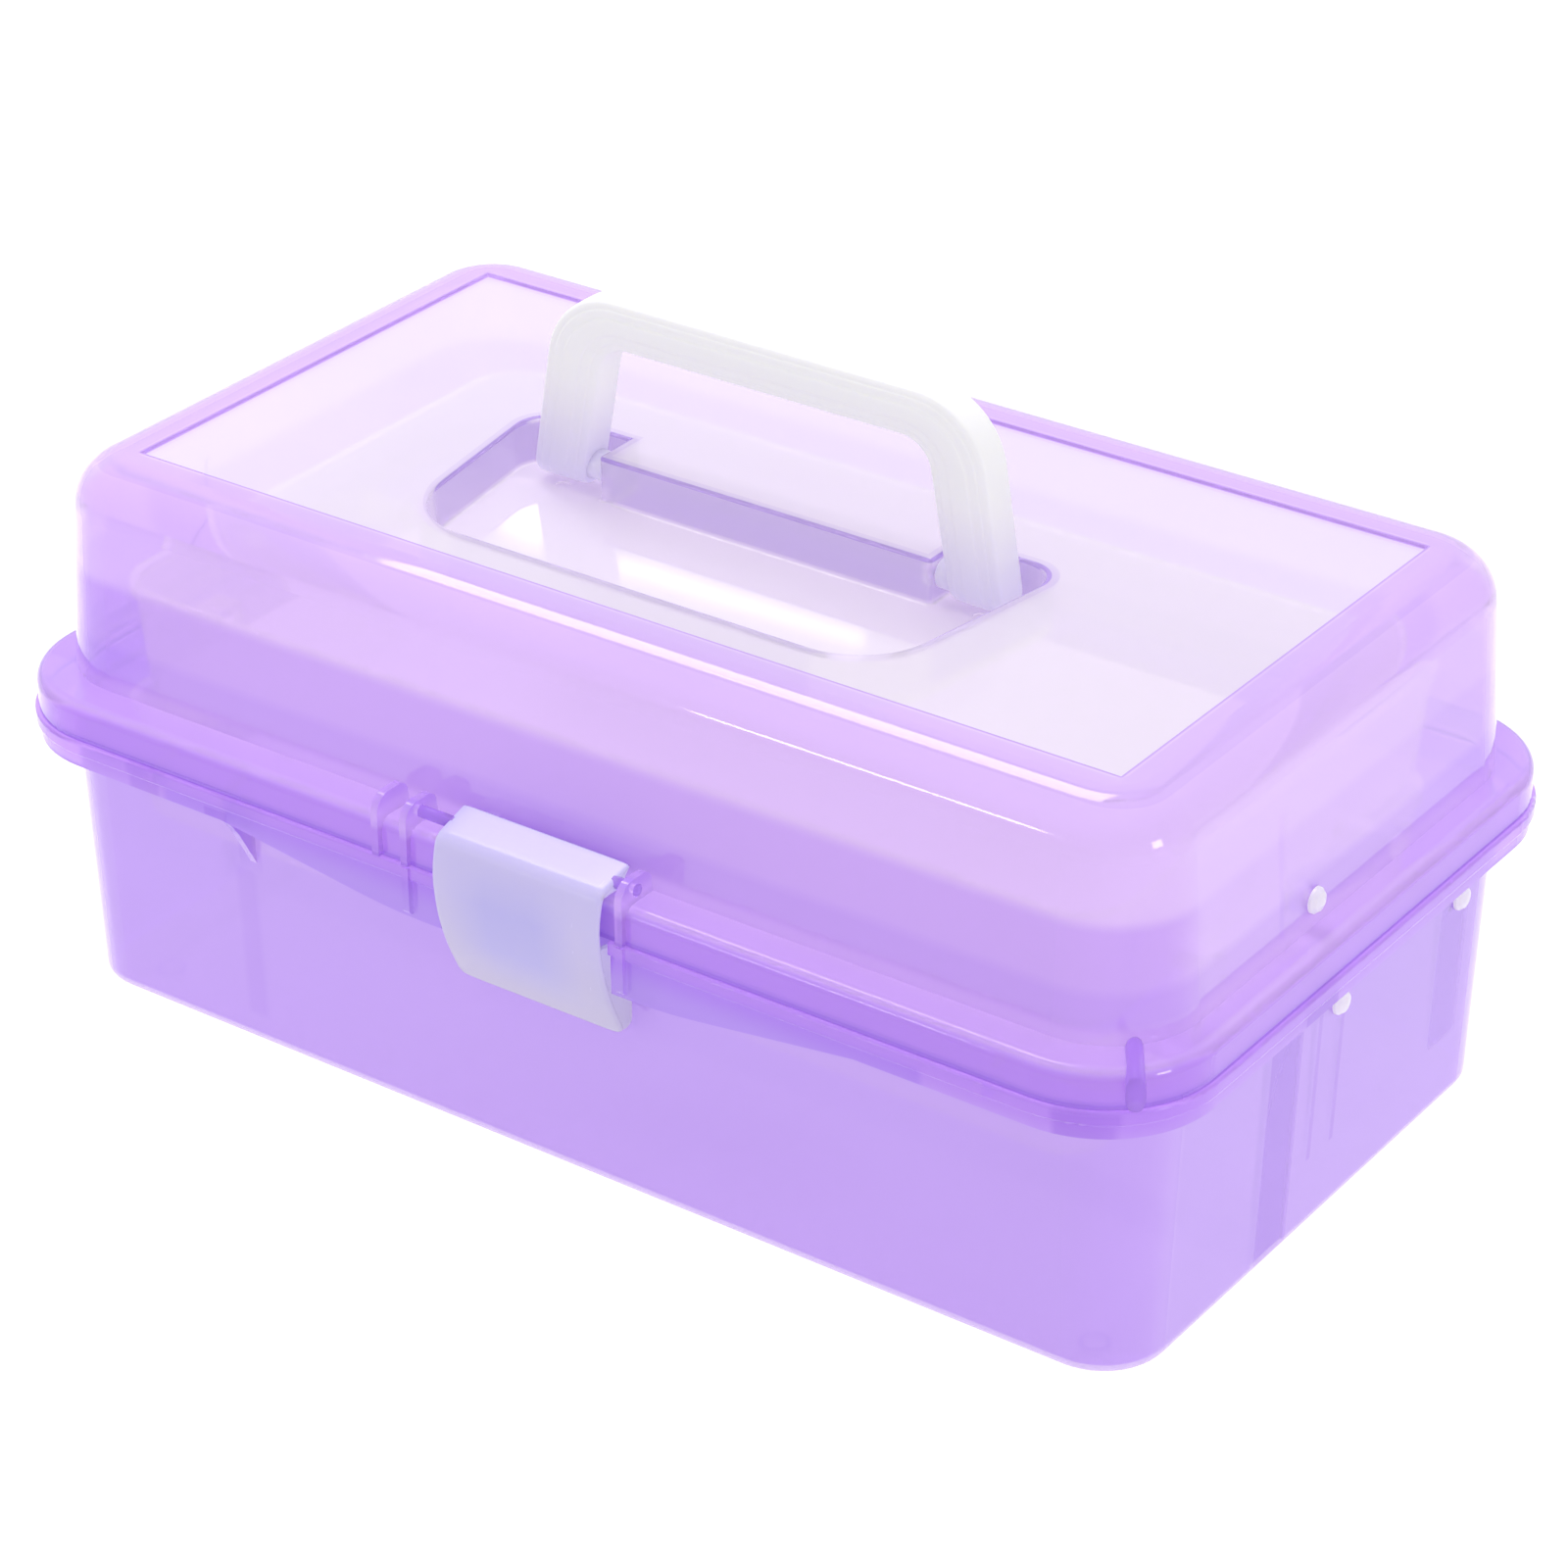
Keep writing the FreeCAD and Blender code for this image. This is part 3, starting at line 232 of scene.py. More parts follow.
def edge_line():
    """1 on a line of the given width along a rounded outline in X and Y, between two levels of Z.

    The distance from the outline is that of a box with a front and a rear corner radius, whose
    half length grows along Y by the taper, less a notch that opens to the rear.
    """
    group, given, result = new_group(
        "edge_line",
        [("Middle X", 0.0), ("Middle Y", 0.0), ("Half X", 0.1), ("Half Y", 0.1), ("Taper", 0.0),
         ("Front Corner", 0.001), ("Rear Corner", 0.001), ("Notch Half", -1.0), ("Notch Y", 0.0),
         ("Low", 0.0), ("High", 0.1), ("Width", 0.0005), ("Edge", 0.0003)],
        ["Share"],
    )
    read = given.outputs
    place = group.nodes.new("ShaderNodeTexCoord").outputs["Object"]
    parts = group.nodes.new("ShaderNodeSeparateXYZ")
    group.links.new(place, parts.inputs["Vector"])
    along = math_node(group, "SUBTRACT", parts.outputs["Y"], read["Middle Y"])
    across = math_node(group, "SUBTRACT", parts.outputs["X"], read["Middle X"])
    across = math_node(group, "ABSOLUTE", across)
    rear = math_node(group, "GREATER_THAN", along, 0.0)
    grown = math_node(group, "SUBTRACT", read["Rear Corner"], read["Front Corner"])
    corner = math_node(group, "MULTIPLY_ADD", grown, rear, read["Front Corner"])
    half = math_node(group, "MULTIPLY_ADD", read["Taper"], along, read["Half X"])
    out_x = math_node(group, "ADD", math_node(group, "SUBTRACT", across, half), corner)
    deep = math_node(group, "SUBTRACT", math_node(group, "ABSOLUTE", along), read["Half Y"])
    out_y = math_node(group, "ADD", deep, corner)
    far_x = math_node(group, "MAXIMUM", out_x, 0.0)
    far_y = math_node(group, "MAXIMUM", out_y, 0.0)
    squares = math_node(group, "MULTIPLY_ADD", far_x, far_x, math_node(group, "POWER", far_y, 2.0))
    outside = math_node(group, "SQRT", squares)
    inside = math_node(group, "MINIMUM", math_node(group, "MAXIMUM", out_x, out_y), 0.0)
    distance = math_node(group, "SUBTRACT", math_node(group, "ADD", outside, inside), corner)
    notch_x = math_node(group, "SUBTRACT", read["Notch Half"], across)
    notch_y = math_node(group, "SUBTRACT", parts.outputs["Y"], read["Notch Y"])
    distance = math_node(group, "MAXIMUM", distance, math_node(group, "MINIMUM", notch_x, notch_y))
    near = math_node(group, "SUBTRACT", read["Width"], math_node(group, "ABSOLUTE", distance))
    above = math_node(group, "SUBTRACT", parts.outputs["Z"], read["Low"])
    below = math_node(group, "SUBTRACT", read["High"], parts.outputs["Z"])
    least = math_node(group, "MINIMUM", near, math_node(group, "MINIMUM", above, below))
    soft = math_node(group, "ADD", math_node(group, "DIVIDE", least, read["Edge"]), 0.5)
    soft.node.use_clamp = True
    group.links.new(soft, result.inputs["Share"])
    return group


SKIN, SCUFFS, BAND = moulded_skin(), handling_scuffs(), level_band()
THICK, LINE = thick_place(), edge_line()


def use_group(tree, group, **values):
    """A node that runs a group, with its inputs set by name."""
    node = tree.nodes.new("ShaderNodeGroup")
    node.node_tree = group
    for key, setting in values.items():
        node.inputs[key.replace("_", " ")].default_value = setting
    return node


def box_mark(low, high, share, edge=0.6):
    """A box between two corners in millimetres, with how strongly it counts and its soft edge."""
    values = {"Edge": edge * MM}
    for axis, start, end, shift in zip("XYZ", low, high, (0, FRAME_SHIFT, 0)):
        values["Low_" + axis] = (start - shift) * MM
        values["High_" + axis] = (end - shift) * MM
    return THICK, values, share


def line_mark(middle, half, corners, levels, width, share, **more):
    """A line along an outline in millimetres: its middle, half sizes, front and rear corners."""
    values = {
        "Middle_X": middle[0] * MM, "Middle_Y": (middle[1] - FRAME_SHIFT) * MM,
        "Half_X": half[0] * MM, "Half_Y": half[1] * MM,
        "Front_Corner": corners[0] * MM, "Rear_Corner": corners[1] * MM,
        "Low": levels[0] * MM, "High": levels[1] * MM, "Width": width * MM,
    }
    return LINE, {**values, **more}, share


def marked(tree, marks):
    """The strongest of the marks at each point."""
    total = None
    for group, values, share in marks:
        mark = math_node(tree, "MULTIPLY", use_group(tree, group, **values).outputs["Share"], share)
        total = mark if total is None else math_node(tree, "MAXIMUM", total, mark)
    return total


def plastic_shell(tree, colour, roughness, scuffed, bump, skin_scale=900.0, skin_share=0.3):
    """A Principled shader whose colour, roughness and bump follow the skin and the scuffs."""
    shell = add_node(tree, "ShaderNodeBsdfPrincipled")
    skin_node = use_group(tree, SKIN, Skin_Scale=skin_scale, Skin_Share=skin_share)
    scuffs = use_group(tree, SCUFFS, Amount=scuffed)
    tone = add_node(tree, "ShaderNodeMapRange", To_Min=0.965, To_Max=1.035)
    tree.links.new(skin_node.outputs["Flow"], tone.inputs["Value"])
    toned = add_node(tree, "ShaderNodeVectorMath", operation="SCALE")
    tree.links.new(colour, toned.inputs[0])
    tree.links.new(tone.outputs["Result"], toned.inputs["Scale"])
    tree.links.new(toned.outputs[0], shell.inputs["Base Color"])
    worn = add_node(tree, "ShaderNodeMapRange", To_Min=roughness, To_Max=roughness + 0.2)
    tree.links.new(scuffs.outputs["Scuffs"], worn.inputs["Value"])
    tree.links.new(worn.outputs["Result"], shell.inputs["Roughness"])
    relief = add_node(tree, "ShaderNodeBump", Strength=bump, Distance=0.0004)
    tree.links.new(skin_node.outputs["Height"], relief.inputs["Height"])
    tree.links.new(relief.outputs["Normal"], shell.inputs["Normal"])
    return shell


def tinted_plastic(name, low, high, levels, clear, density, roughness=0.08, gloss=0.6,
                   deep=(), painted_light=(), matt=()):
    """See-through moulded plastic with a clear lacquer-like gloss.

    Its milky share goes from the low to the high colour between two levels of Z, its clear
    share is coloured by how far light runs inside the wall, and shadow rays and light from
    matt surfaces pass straight through, so the inside of the box stays bright. Light that is
    caught inside a wall leaves it tinted. The pale marks, painted light, take the high colour,
    each row of the deep ones takes its own, some of them painted shade, and where the matt
    marks lie there is no gloss.
    """
    material, tree = new_material(name)
    out = add_node(tree, "ShaderNodeOutputMaterial")
    band = use_group(tree, BAND, Low=levels[0], High=levels[1])
    colour = blend_colours(tree, band.outputs["Share"], srgb(*low), srgb(*high))
    if painted_light:
        colour = blend_colours(tree, marked(tree, painted_light), colour, srgb(*high))
    for marks, mark_colour in deep:
        colour = blend_colours(tree, marked(tree, marks), colour, srgb(*mark_colour))
    shell = plastic_shell(tree, colour, roughness, scuffed=0.35, bump=0.03, skin_share=0.06)
    shell.inputs["Transmission Weight"].default_value = clear
    shell.inputs["IOR"].default_value = CLEAR_IOR
    shell.inputs["Coat Weight"].default_value = gloss
    if matt:
        dull = math_node(tree, "SUBTRACT", 1.0, marked(tree, matt))
        dull = math_node(tree, "MULTIPLY", dull, gloss)
        tree.links.new(dull, shell.inputs["Coat Weight"])
    shell.inputs["Coat Roughness"].default_value = roughness
    path = add_node(tree, "ShaderNodeLightPath")
    caught = math_node(tree, "GREATER_THAN", path.outputs["Ray Depth"], CAUGHT_DEPTH)
    through = math_node(
        tree, "MAXIMUM", path.outputs["Is Shadow Ray"], path.outputs["Is Diffuse Ray"]
    )
    straight = add_node(tree, "ShaderNodeBsdfTransparent")
    tint = blend_colours(tree, caught, (1, 1, 1, 1), srgb(*CAUGHT_COLOUR))
    tree.links.new(tint, straight.inputs["Color"])
    mix = add_node(tree, "ShaderNodeMixShader")
    tree.links.new(math_node(tree, "MAXIMUM", through, caught), mix.inputs[0])
    tree.links.new(shell.outputs["BSDF"], mix.inputs[1])
    tree.links.new(straight.outputs["BSDF"], mix.inputs[2])
    depth = add_node(tree, "ShaderNodeVolumeAbsorption", Density=density)
    depth.inputs["Color"].default_value = srgb(*ABSORB_COLOUR)
    tree.links.new(mix.outputs["Shader"], out.inputs["Surface"])
    tree.links.new(depth.outputs["Volume"], out.inputs["Volume"])
    return material


def milky_plastic(name, low, high, levels, roughness, veil=(), veil_colour=None):
    """Cloudy moulded plastic that light sinks into.

    Its colour goes from low to high between two levels of Z, with a veil of another colour
    over the marked places.
    """
    material, tree = new_material(name)
    out = add_node(tree, "ShaderNodeOutputMaterial")
    band = use_group(tree, BAND, Low=levels[0], High=levels[1])
    colour = blend_colours(tree, band.outputs["Share"], srgb(*low), srgb(*high))
    if veil:
        colour = blend_colours(tree, marked(tree, veil), colour, srgb(*veil_colour))
    shell = plastic_shell(tree, colour, roughness, scuffed=0.3, bump=0.15, skin_scale=1400.0)
    shell.inputs["Subsurface Weight"].default_value = MILKY_SHARE
    shell.inputs["Subsurface Radius"].default_value = MILKY_SPREAD
    tree.links.new(shell.outputs["BSDF"], out.inputs["Surface"])
    return material


def pin_metal(name):
    """Drawn steel wire: fine rings along X darken it and roughen it."""
    material, tree = new_material(name)
    out = add_node(tree, "ShaderNodeOutputMaterial")
    place = tree.nodes.new("ShaderNodeTexCoord")
    shell = add_node(tree, "ShaderNodeBsdfPrincipled", Metallic=1.0)
    stretch = add_node(tree, "ShaderNodeMapping", Scale=(0.15, 1.0, 1.0))
    tree.links.new(place.outputs["Object"], stretch.inputs["Vector"])
    drawn = add_node(tree, "ShaderNodeTexNoise", Scale=2500.0, Detail=3.0)
    tree.links.new(stretch.outputs["Vector"], drawn.inputs["Vector"])
    colour = blend_colours(tree, drawn.outputs["Fac"], srgb(150, 152, 158), srgb(205, 207, 212))
    tree.links.new(colour, shell.inputs["Base Color"])
    rough = add_node(tree, "ShaderNodeMapRange", To_Min=0.22, To_Max=0.42)
    tree.links.new(drawn.outputs["Fac"], rough.inputs["Value"])
    tree.links.new(rough.outputs["Result"], shell.inputs["Roughness"])
    tree.links.new(shell.outputs["BSDF"], out.inputs["Surface"])
    return material


def rounded_line(corners, steps=8):
    """An open line through corners (across, up, radius).

    Each corner becomes an arc that touches both of its runs: it starts radius / tan(half the
    inside angle) before the corner, and its points are the spherical mix of its two end radii.
    """
    pieces = [np.array([corners[0][:2]], float)]
    for before, here, after in zip(corners, corners[1:], corners[2:]):
        tip = np.array(here[:2], float)
        radius = here[2] if len(here) > 2 else 0.0
        if not radius:
            pieces.append(tip[None])
            continue
        back, onward = np.array(before[:2], float) - tip, np.array(after[:2], float) - tip
        back, onward = back / np.linalg.norm(back), onward / np.linalg.norm(onward)
        half = np.arccos(back @ onward) / 2
        middle = back + onward
        centre = tip + middle / np.linalg.norm(middle) * radius / np.sin(half)
        first = tip + back * radius / np.tan(half) - centre
        last = tip + onward * radius / np.tan(half) - centre
        turn = np.pi - 2 * half
        share = np.linspace(0, 1, steps + 1)[:, None]
        arc = np.sin((1 - share) * turn) * first + np.sin(share * turn) * last
        pieces.append(centre + arc / np.sin(turn))
    pieces.append(np.array([corners[-1][:2]], float))
    return np.vstack(pieces)


def spread(line, count):
    """The same line with count points, equally far apart along it."""
    run = np.r_[0, np.cumsum(np.linalg.norm(np.diff(line, axis=0), axis=1))]
    at = np.linspace(0, run[-1], count)
    return np.stack([np.interp(at, run, line[:, k]) for k in range(line.shape[1])], axis=1)


def cut_corners(loop, times):
    """A closed loop made softer: each side keeps its points at a quarter and three quarters."""
    for _ in range(times):
        onward = np.roll(loop, -1, axis=0)
        loop = np.stack([0.75 * loop + 0.25 * onward, 0.25 * loop + 0.75 * onward], axis=1)
        loop = loop.reshape(-1, loop.shape[-1])
    return loop


def skin(rows):
    """Points and quads over a grid of rows, each row closed into a ring."""
    count, around = rows.shape[:2]
    left = np.arange(count * around).reshape(count, around)
    right = np.roll(left, -1, axis=1)
    quads = np.stack([left[:-1], right[:-1], right[1:], left[1:]], axis=-1).reshape(-1, 4)
    return rows.reshape(-1, 3), quads


def outward(points, quads):
    """Turns the quads over when the volume that they enclose comes out negative."""
    a, b, c, d = (points[quads[:, k]] for k in range(4))
    volume = np.einsum("ij,ij->", np.cross(b - a, c - a), a)
    volume += np.einsum("ij,ij->", np.cross(c - a, d - a), a)
    return quads if volume > 0 else quads[:, ::-1]


def add_piece(name, skins, material, body, slot, *nodes):
    """One piece from closed skins in millimetres, riding on a body in place of CAD nodes."""
    points, quads, start = [], [], 0
    for skin_points, skin_quads in skins:
        points.append(skin_points)
        quads.append(outward(skin_points, skin_quads) + start)
        start += len(skin_points)
    points = (np.vstack(points) - (0, FRAME_SHIFT, 0)) * MM
    quads = np.vstack(quads)
    mesh = bpy.data.meshes.new(name)
    mesh.vertices.add(len(points))
    mesh.vertices.foreach_set("co", points.astype(np.float32).ravel())
    mesh.loops.add(quads.size)
    mesh.loops.foreach_set("vertex_index", quads.astype(np.int32).ravel())
    mesh.polygons.add(len(quads))
    mesh.polygons.foreach_set("loop_start", np.arange(0, quads.size, 4, dtype=np.int32))
    mesh.polygons.foreach_set("use_smooth", np.ones(len(quads), bool))
    mesh.update(calc_edges=True)
    seam = bmesh.new()
    seam.from_mesh(mesh)
    bmesh.ops.remove_doubles(seam, verts=seam.verts, dist=SEAM)
    bmesh.ops.dissolve_degenerate(seam, edges=seam.edges, dist=SEAM)
    seam.to_mesh(mesh)
    seam.free()
    mesh.validate()
    mesh.materials.append(material)
    piece = bpy.data.objects.new(name, mesh)
    bpy.context.scene.collection.objects.link(piece)
    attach(piece, body)
    if nodes:
        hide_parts(*nodes)


def turned(profile, y, z, around=32):
    """A turned form about a line along X: the profile (x, radius) spun once round (y, z)."""
    angle = np.linspace(0, 2 * np.pi, around, endpoint=False)
    x, radius = np.array(profile, float).T
    rows = np.stack(
        [
            np.repeat(x[:, None], around, axis=1),
            y + radius[:, None] * np.cos(angle),
            z + radius[:, None] * np.sin(angle),
        ],
        axis=-1,
    )
    return skin(rows)


# The handle: its pivot (y, z), its depth along Y, the levels of its feet and its top, and the
# height of its grip
HANDLE_PIVOT = (0.5, 135.5)
HANDLE_DEPTH = 11.0
HANDLE_FOOT, HANDLE_TOP, HANDLE_GRIP = 130.1, 181.0, 12.1


def handle_section():
    """The handle's section as shares of its half width and half depth.

    A flat band between two low steps, the same on the front and on the rear, with soft sides.
    Its corners are cut twice.
    """
    front = [(-1.0, 0.50), (-0.97, 0.80), (-0.80, 0.88), (-0.68, 0.88), (-0.64, 0.94),
             (-0.34, 0.94), (-0.30, 1.0), (0.30, 1.0), (0.34, 0.94), (0.64, 0.94),
             (0.68, 0.88), (0.80, 0.88), (0.97, 0.80), (1.0, 0.50)]
    front = np.array(front)
    return cut_corners(np.vstack([front, front[::-1] * (1, -1)]), 2)


def handle_bail():
    """The bail: a stepped section carried along a U between an outer and an inner line.

    A point is the middle of the two lines, plus its across share of half their gap, with its
    depth along Y. Towards each foot the depth falls as the height of a half circle, so that
    the foot can turn on its stub, and the width gives way by up to a tenth.
    """
    finger_top = HANDLE_TOP - HANDLE_GRIP
    outer = rounded_line([(67.8, HANDLE_FOOT), (59.4, HANDLE_TOP, 20.0), (0.0, HANDLE_TOP)], 24)
    inner = rounded_line([(52.5, HANDLE_FOOT), (45.4, finger_top, 8.0), (0.0, finger_top)], 24)
    foot = HANDLE_DEPTH / 2
    rise = foot * (1 - np.cos(np.linspace(0, np.pi / 2, 12)))

    def with_foot(line):
        leg = line[1] - line[0]
        low = line[0] + leg * (rise / leg[1])[:, None]
        upright = spread(np.vstack([low[-1], line[1]]), 26)
        grip = spread(line[-2:], 10)
        return np.vstack([low, upright[1:], line[2:-1], grip[1:]])

    outer, inner = with_foot(outer), with_foot(inner)
    height = (outer[:, 1] + inner[:, 1]) / 2 - HANDLE_FOOT
    lift = np.clip(1 - height / foot, 0, 1)
    slim = np.sqrt(1 - lift**2)
    outer = np.vstack([outer, outer[-2::-1] * (-1, 1)])
    inner = np.vstack([inner, inner[-2::-1] * (-1, 1)])
    slim = np.r_[slim, slim[-2::-1]]
    middle, half = (outer + inner) / 2, (outer - inner) / 2
    across, depth = handle_section().T
    give = 1 - 0.1 * (1 - slim)
    flat = middle[:, None] + half[:, None] * (give[:, None] * across)[..., None]
    y = HANDLE_PIVOT[0] + HANDLE_DEPTH / 2 * slim[:, None] * depth
    return skin(np.stack([flat[..., 0], y, flat[..., 1]], axis=-1))


def handle_stub(side):
    """A collar and a stub from a leg into the block: their turned outline, mirrored by side."""
    profile = [(45.3, 0), (45.3, 1.7), (45.6, 2.0), (47.9, 2.0), (47.9, 3.5), (48.2, 3.8),
               (53.5, 3.8), (53.5, 0)]
    return turned([(side * x, radius) for x, radius in profile], *HANDLE_PIVOT)


# The latch: its pivot (y, z), its sides along X, its corner radius and its cheeks' thickness
LATCH_PIVOT = (-92.2, 89.4)
LATCH_LEFT, LATCH_RIGHT = -23.3, 24.0
LATCH_CORNER = 2.6
CHEEK = 1.6


def even(line, count):
    """Count points along a line, closer together at its two ends.

    Their shares of its run are the mean of equal steps and of a half turn's cosine steps.
    """
    share = (1 - np.cos(np.linspace(0, np.pi, count))) / 2
    share = 0.5 * share + 0.5 * np.linspace(0, 1, count)
    dense = spread(line, 400)
    at = np.linspace(0, 1, len(dense))
    return np.stack([np.interp(share, at, dense[:, k]) for k in (0, 1)], axis=1)


def blade(front, rear, x_start, x_end, rows=60, corner=0.0, edge=0.6, bevel=0.4, pull=0):
    """A thin form between two side lines (y, z), from x_start to x_end.

    The middle of its section runs halfway between the lines and its thickness is their gap. At
    both ends the thickness falls as a quarter ellipse over the edge, and at the last end the half
    width falls as a quarter circle of the corner radius; with a pull of 1 or -1 the whole section
    moves that way instead. The section itself is a box with bevelled sides, its corners cut
    twice.
    """
    front, rear = even(front, rows), even(rear, rows)
    middle, half = (front + rear) / 2, (front - rear) / 2
    run = np.r_[0, np.cumsum(np.linalg.norm(np.diff(middle, axis=0), axis=1))]
    left = run[-1] - run
    slim = np.sqrt(1 - np.clip(1 - np.minimum(run, left) / edge, 0, 1) ** 2)
    half_width = (x_end - x_start) / 2
    side = corner - np.sqrt(corner**2 - np.clip(corner - left, 0, corner) ** 2)
    near = 1 - min(0.4, bevel / half_width)
    loop = np.array([(-1, -0.4), (-1, 0.4), (-near, 1), (-0.5, 1), (0, 1), (0.5, 1), (near, 1),
                     (1, 0.4), (1, -0.4), (near, -1), (0.5, -1), (0, -1), (-0.5, -1),
                     (-near, -1)])
    across, through = cut_corners(loop, 2).T
    width = half_width * np.ones(rows) if pull else half_width - side
    x = (x_start + x_end) / 2 + pull * side[:, None] + np.multiply.outer(width, across)
    flat = middle[:, None] + half[:, None] * (slim[:, None] * through)[..., None]
    return skin(np.stack([x, flat[..., 0] + LATCH_PIVOT[0], flat[..., 1] + LATCH_PIVOT[1]], -1))


def latch_skins():
    """The latch: its bent face, two deep lower cheeks and two upper cheeks."""
    outer = rounded_line([(4.7, 2.9), (-6.4, -0.2, 4), (-8.4, -9.1, 30), (-7.2, -20.1, 60),
                          (-4.2, -30.1, 60), (0.7, -40.4)])
    inner = rounded_line([(4.3, 1.2), (-4.8, -2.0, 2.2), (-6.5, -9.4, 28), (-5.4, -19.8, 58),
                          (-2.4, -29.6, 58), (2.4, -40.2)])
    skins = [blade(outer, inner, LATCH_LEFT, LATCH_RIGHT, 90, LATCH_CORNER, bevel=1.0)]
    cheek_front = rounded_line([(-6.4, -14.2), (-6.1, -20.4, 40), (-3.2, -30.1, 60), (1.2, -40.1)])
    cheek_rear = rounded_line([(-1.0, -15.4), (4.8, -16.6, 2.0), (4.7, -40.0, 3.4), (1.8, -40.3)])
    ear_low = rounded_line([(-6.0, -2.0), (2.0, -2.0, 1.9), (4.1, 1.6)])
    ear_high = rounded_line([(-5.4, -0.8), (1.0, 0.9), (4.1, 1.9)])
    for start, inward in ((LATCH_LEFT, 1), (LATCH_RIGHT - CHEEK, -1)):
        skins.append(blade(cheek_front, cheek_rear, start, start + CHEEK, 60, LATCH_CORNER,
                           pull=inward))
        skins.append(blade(ear_low, ear_high, start, start + CHEEK, 24))
    return skins


def latch_stubs():
    """The two stubs on which the latch turns in its ears."""
    stubs = []
    for inside, outside in ((LATCH_LEFT + 1, -34.5), (LATCH_RIGHT - 1, 29.9)):
        tip = outside - math.copysign(0.3, outside)
        profile = [(inside, 0), (inside, 1.5), (tip, 1.5), (outside, 1.2), (outside, 0)]
        stubs.append(turned(profile, *LATCH_PIVOT, 24))
    return stubs


# The rib in the lid's front right corner: its ends (x, y), levels, fall and thickness
RIB_INNER, RIB_OUTER = np.array([150.3, -79.0]), np.array([158.0, -90.5])
RIB_LOW, RIB_TOP, RIB_FALL, RIB_THICKNESS = 78.5, 88.4, 2.0, 4.4
# How much of the quarter circle its top follows, as a share of the squared reach
RIB_ARC = 0.96


def corner_rib():
    """A rib in the lid's front right corner, from its wall out to its skirt.

    It is a plate whose middle plane runs outward through the corner. Its section is a box whose
    corners are cut twice, and its top falls along its reach as a quarter circle does, stretched
    to the fall.
    """
    reach = np.linspace(0, 1, 24)
    outward_run = RIB_OUTER - RIB_INNER
    foot = RIB_INNER + np.multiply.outer(reach, outward_run)
    run = outward_run / np.linalg.norm(outward_run)
    side = np.array([-run[1], run[0]]) * RIB_THICKNESS / 2
    top = RIB_TOP - RIB_FALL * (1 - np.sqrt(1 - reach**2 * RIB_ARC))
    section = cut_corners(np.array([(-1.0, 0.0), (1.0, 0.0), (1.0, 1.0), (-1.0, 1.0)]), 2)
    across, up = section.T
    flat = foot[:, None] + across[None, :, None] * side
    height = RIB_LOW + (top - RIB_LOW)[:, None] * up
    rows = np.concatenate([flat, height[..., None]], axis=-1)
    inner_end, outer_end = (
        end.mean(axis=1, keepdims=True).repeat(len(section), axis=1) for end in (rows[:1], rows[-1:])
    )
    return skin(np.concatenate([inner_end, rows, outer_end]))


def paint(node, material):
    """Gives a CAD node its finish."""
    mesh_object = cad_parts[node]
    mesh_object.data.materials.clear()
    mesh_object.data.materials.append(material)


# Marks in millimetres, each with how strongly it counts: strips, rings and a gusset on the tub
TUB_LINES = [
    box_mark((-170, -28.7, 2), (170, -15, 74), 0.45),
    box_mark((-170, -7.8, 20), (170, -6.2, 59), 0.35),
    box_mark((-170, 2.6, 20), (170, 4.2, 59), 0.35),
    box_mark((-170, 49, 20), (170, 62, 59), 0.28),
    box_mark((-95.5, -97, 50), (-88.5, -85.4, 72), 0.35),
    box_mark((-97, -90, 8), (-91, -80, 50), 0.1, 2.0),
    box_mark((-119, -110, 67), (-110, -90, 77), 0.25, 1.5),
    box_mark((141, -110, 66), (155, -90, 76.5), 0.35, 1.5),
    line_mark((-133.3, -71.5), (3.2, 3.2), (3.2, 3.2), (-1, 2.6), 0.35, 0.9),
    line_mark((139.5, -72.5), (3.2, 3.2), (3.2, 3.2), (-1, 2.6), 0.35, 0.9),
]
# The tub's right end wall and the wide lobe of its rim
SIDE = [box_mark((151.5, -67, -5), (175, 69, 66), 0.5, 3.0)]
LOBE = [box_mark((-108, -112, 50), (108, -89.5, 74), 0.3, 2.0)]
# The handle recess: its outline, and how its sides spread and its notch opens to the rear
RECESS = {"middle": (0, -23.1), "half": (71.1, 31.6), "corners": (20, 9)}
NOTCH = {"Taper": 0.155, "Notch_Half": 47.5 * MM, "Notch_Y": (-4.0 - FRAME_SHIFT) * MM}
PANEL_EDGE = line_mark((0, 0), (136.9, 66.0), (0.1, 0.1), (139.0, 141.5), 0.5, 0.45)
RECESS_EDGE = line_mark(**RECESS, levels=(139.0, 141), width=0.6, share=0.7, **NOTCH)
# Lines, a painted shadow and deeper places of the lid, then its panel, its flange, its lower walls
# and its walls with painted light
LID_LINES_AND_SHADE = [
    PANEL_EDGE,
    RECESS_EDGE,
    line_mark(**RECESS, levels=(128.8, 139.0), width=2.2, share=0.28, **NOTCH),
    line_mark(**RECESS, levels=(139.0, 141.0), width=2.3, share=0.15, **NOTCH),
    line_mark((0, 0), (143, 72.2), (8, 8), (138.8, 141.5), 5.0, 0.12),
    box_mark((-156, -73, 83.5), (-146, -56, 87), 0.4),
    box_mark((-156, -71, 91), (-146, -63, 96.5), 0.35),
    # A dark line round the foot of the lid's skirt, where it meets the tub's rim: painted shadow in
    # the gap
    box_mark((-170, -110, 70), (170, 100, 78.2), 0.5, 0.5),
]
LID_TOP = [box_mark((-136.5, -65.6, 126), (136.5, 65.6, 140.6), 1.0, 0.4)]
FLANGE = [box_mark((-175, -112, 70), (175, 110, 84.6), 0.45, 1.2)]
PANEL_FLAT = box_mark((-136.5, -65.6, 139.4), (136.5, 65.6, 140.6), 1.0, 0.4)
LID_LOW = [box_mark((-175, -110, 90), (175, 110, 98.5), 0.35, 3.0)]
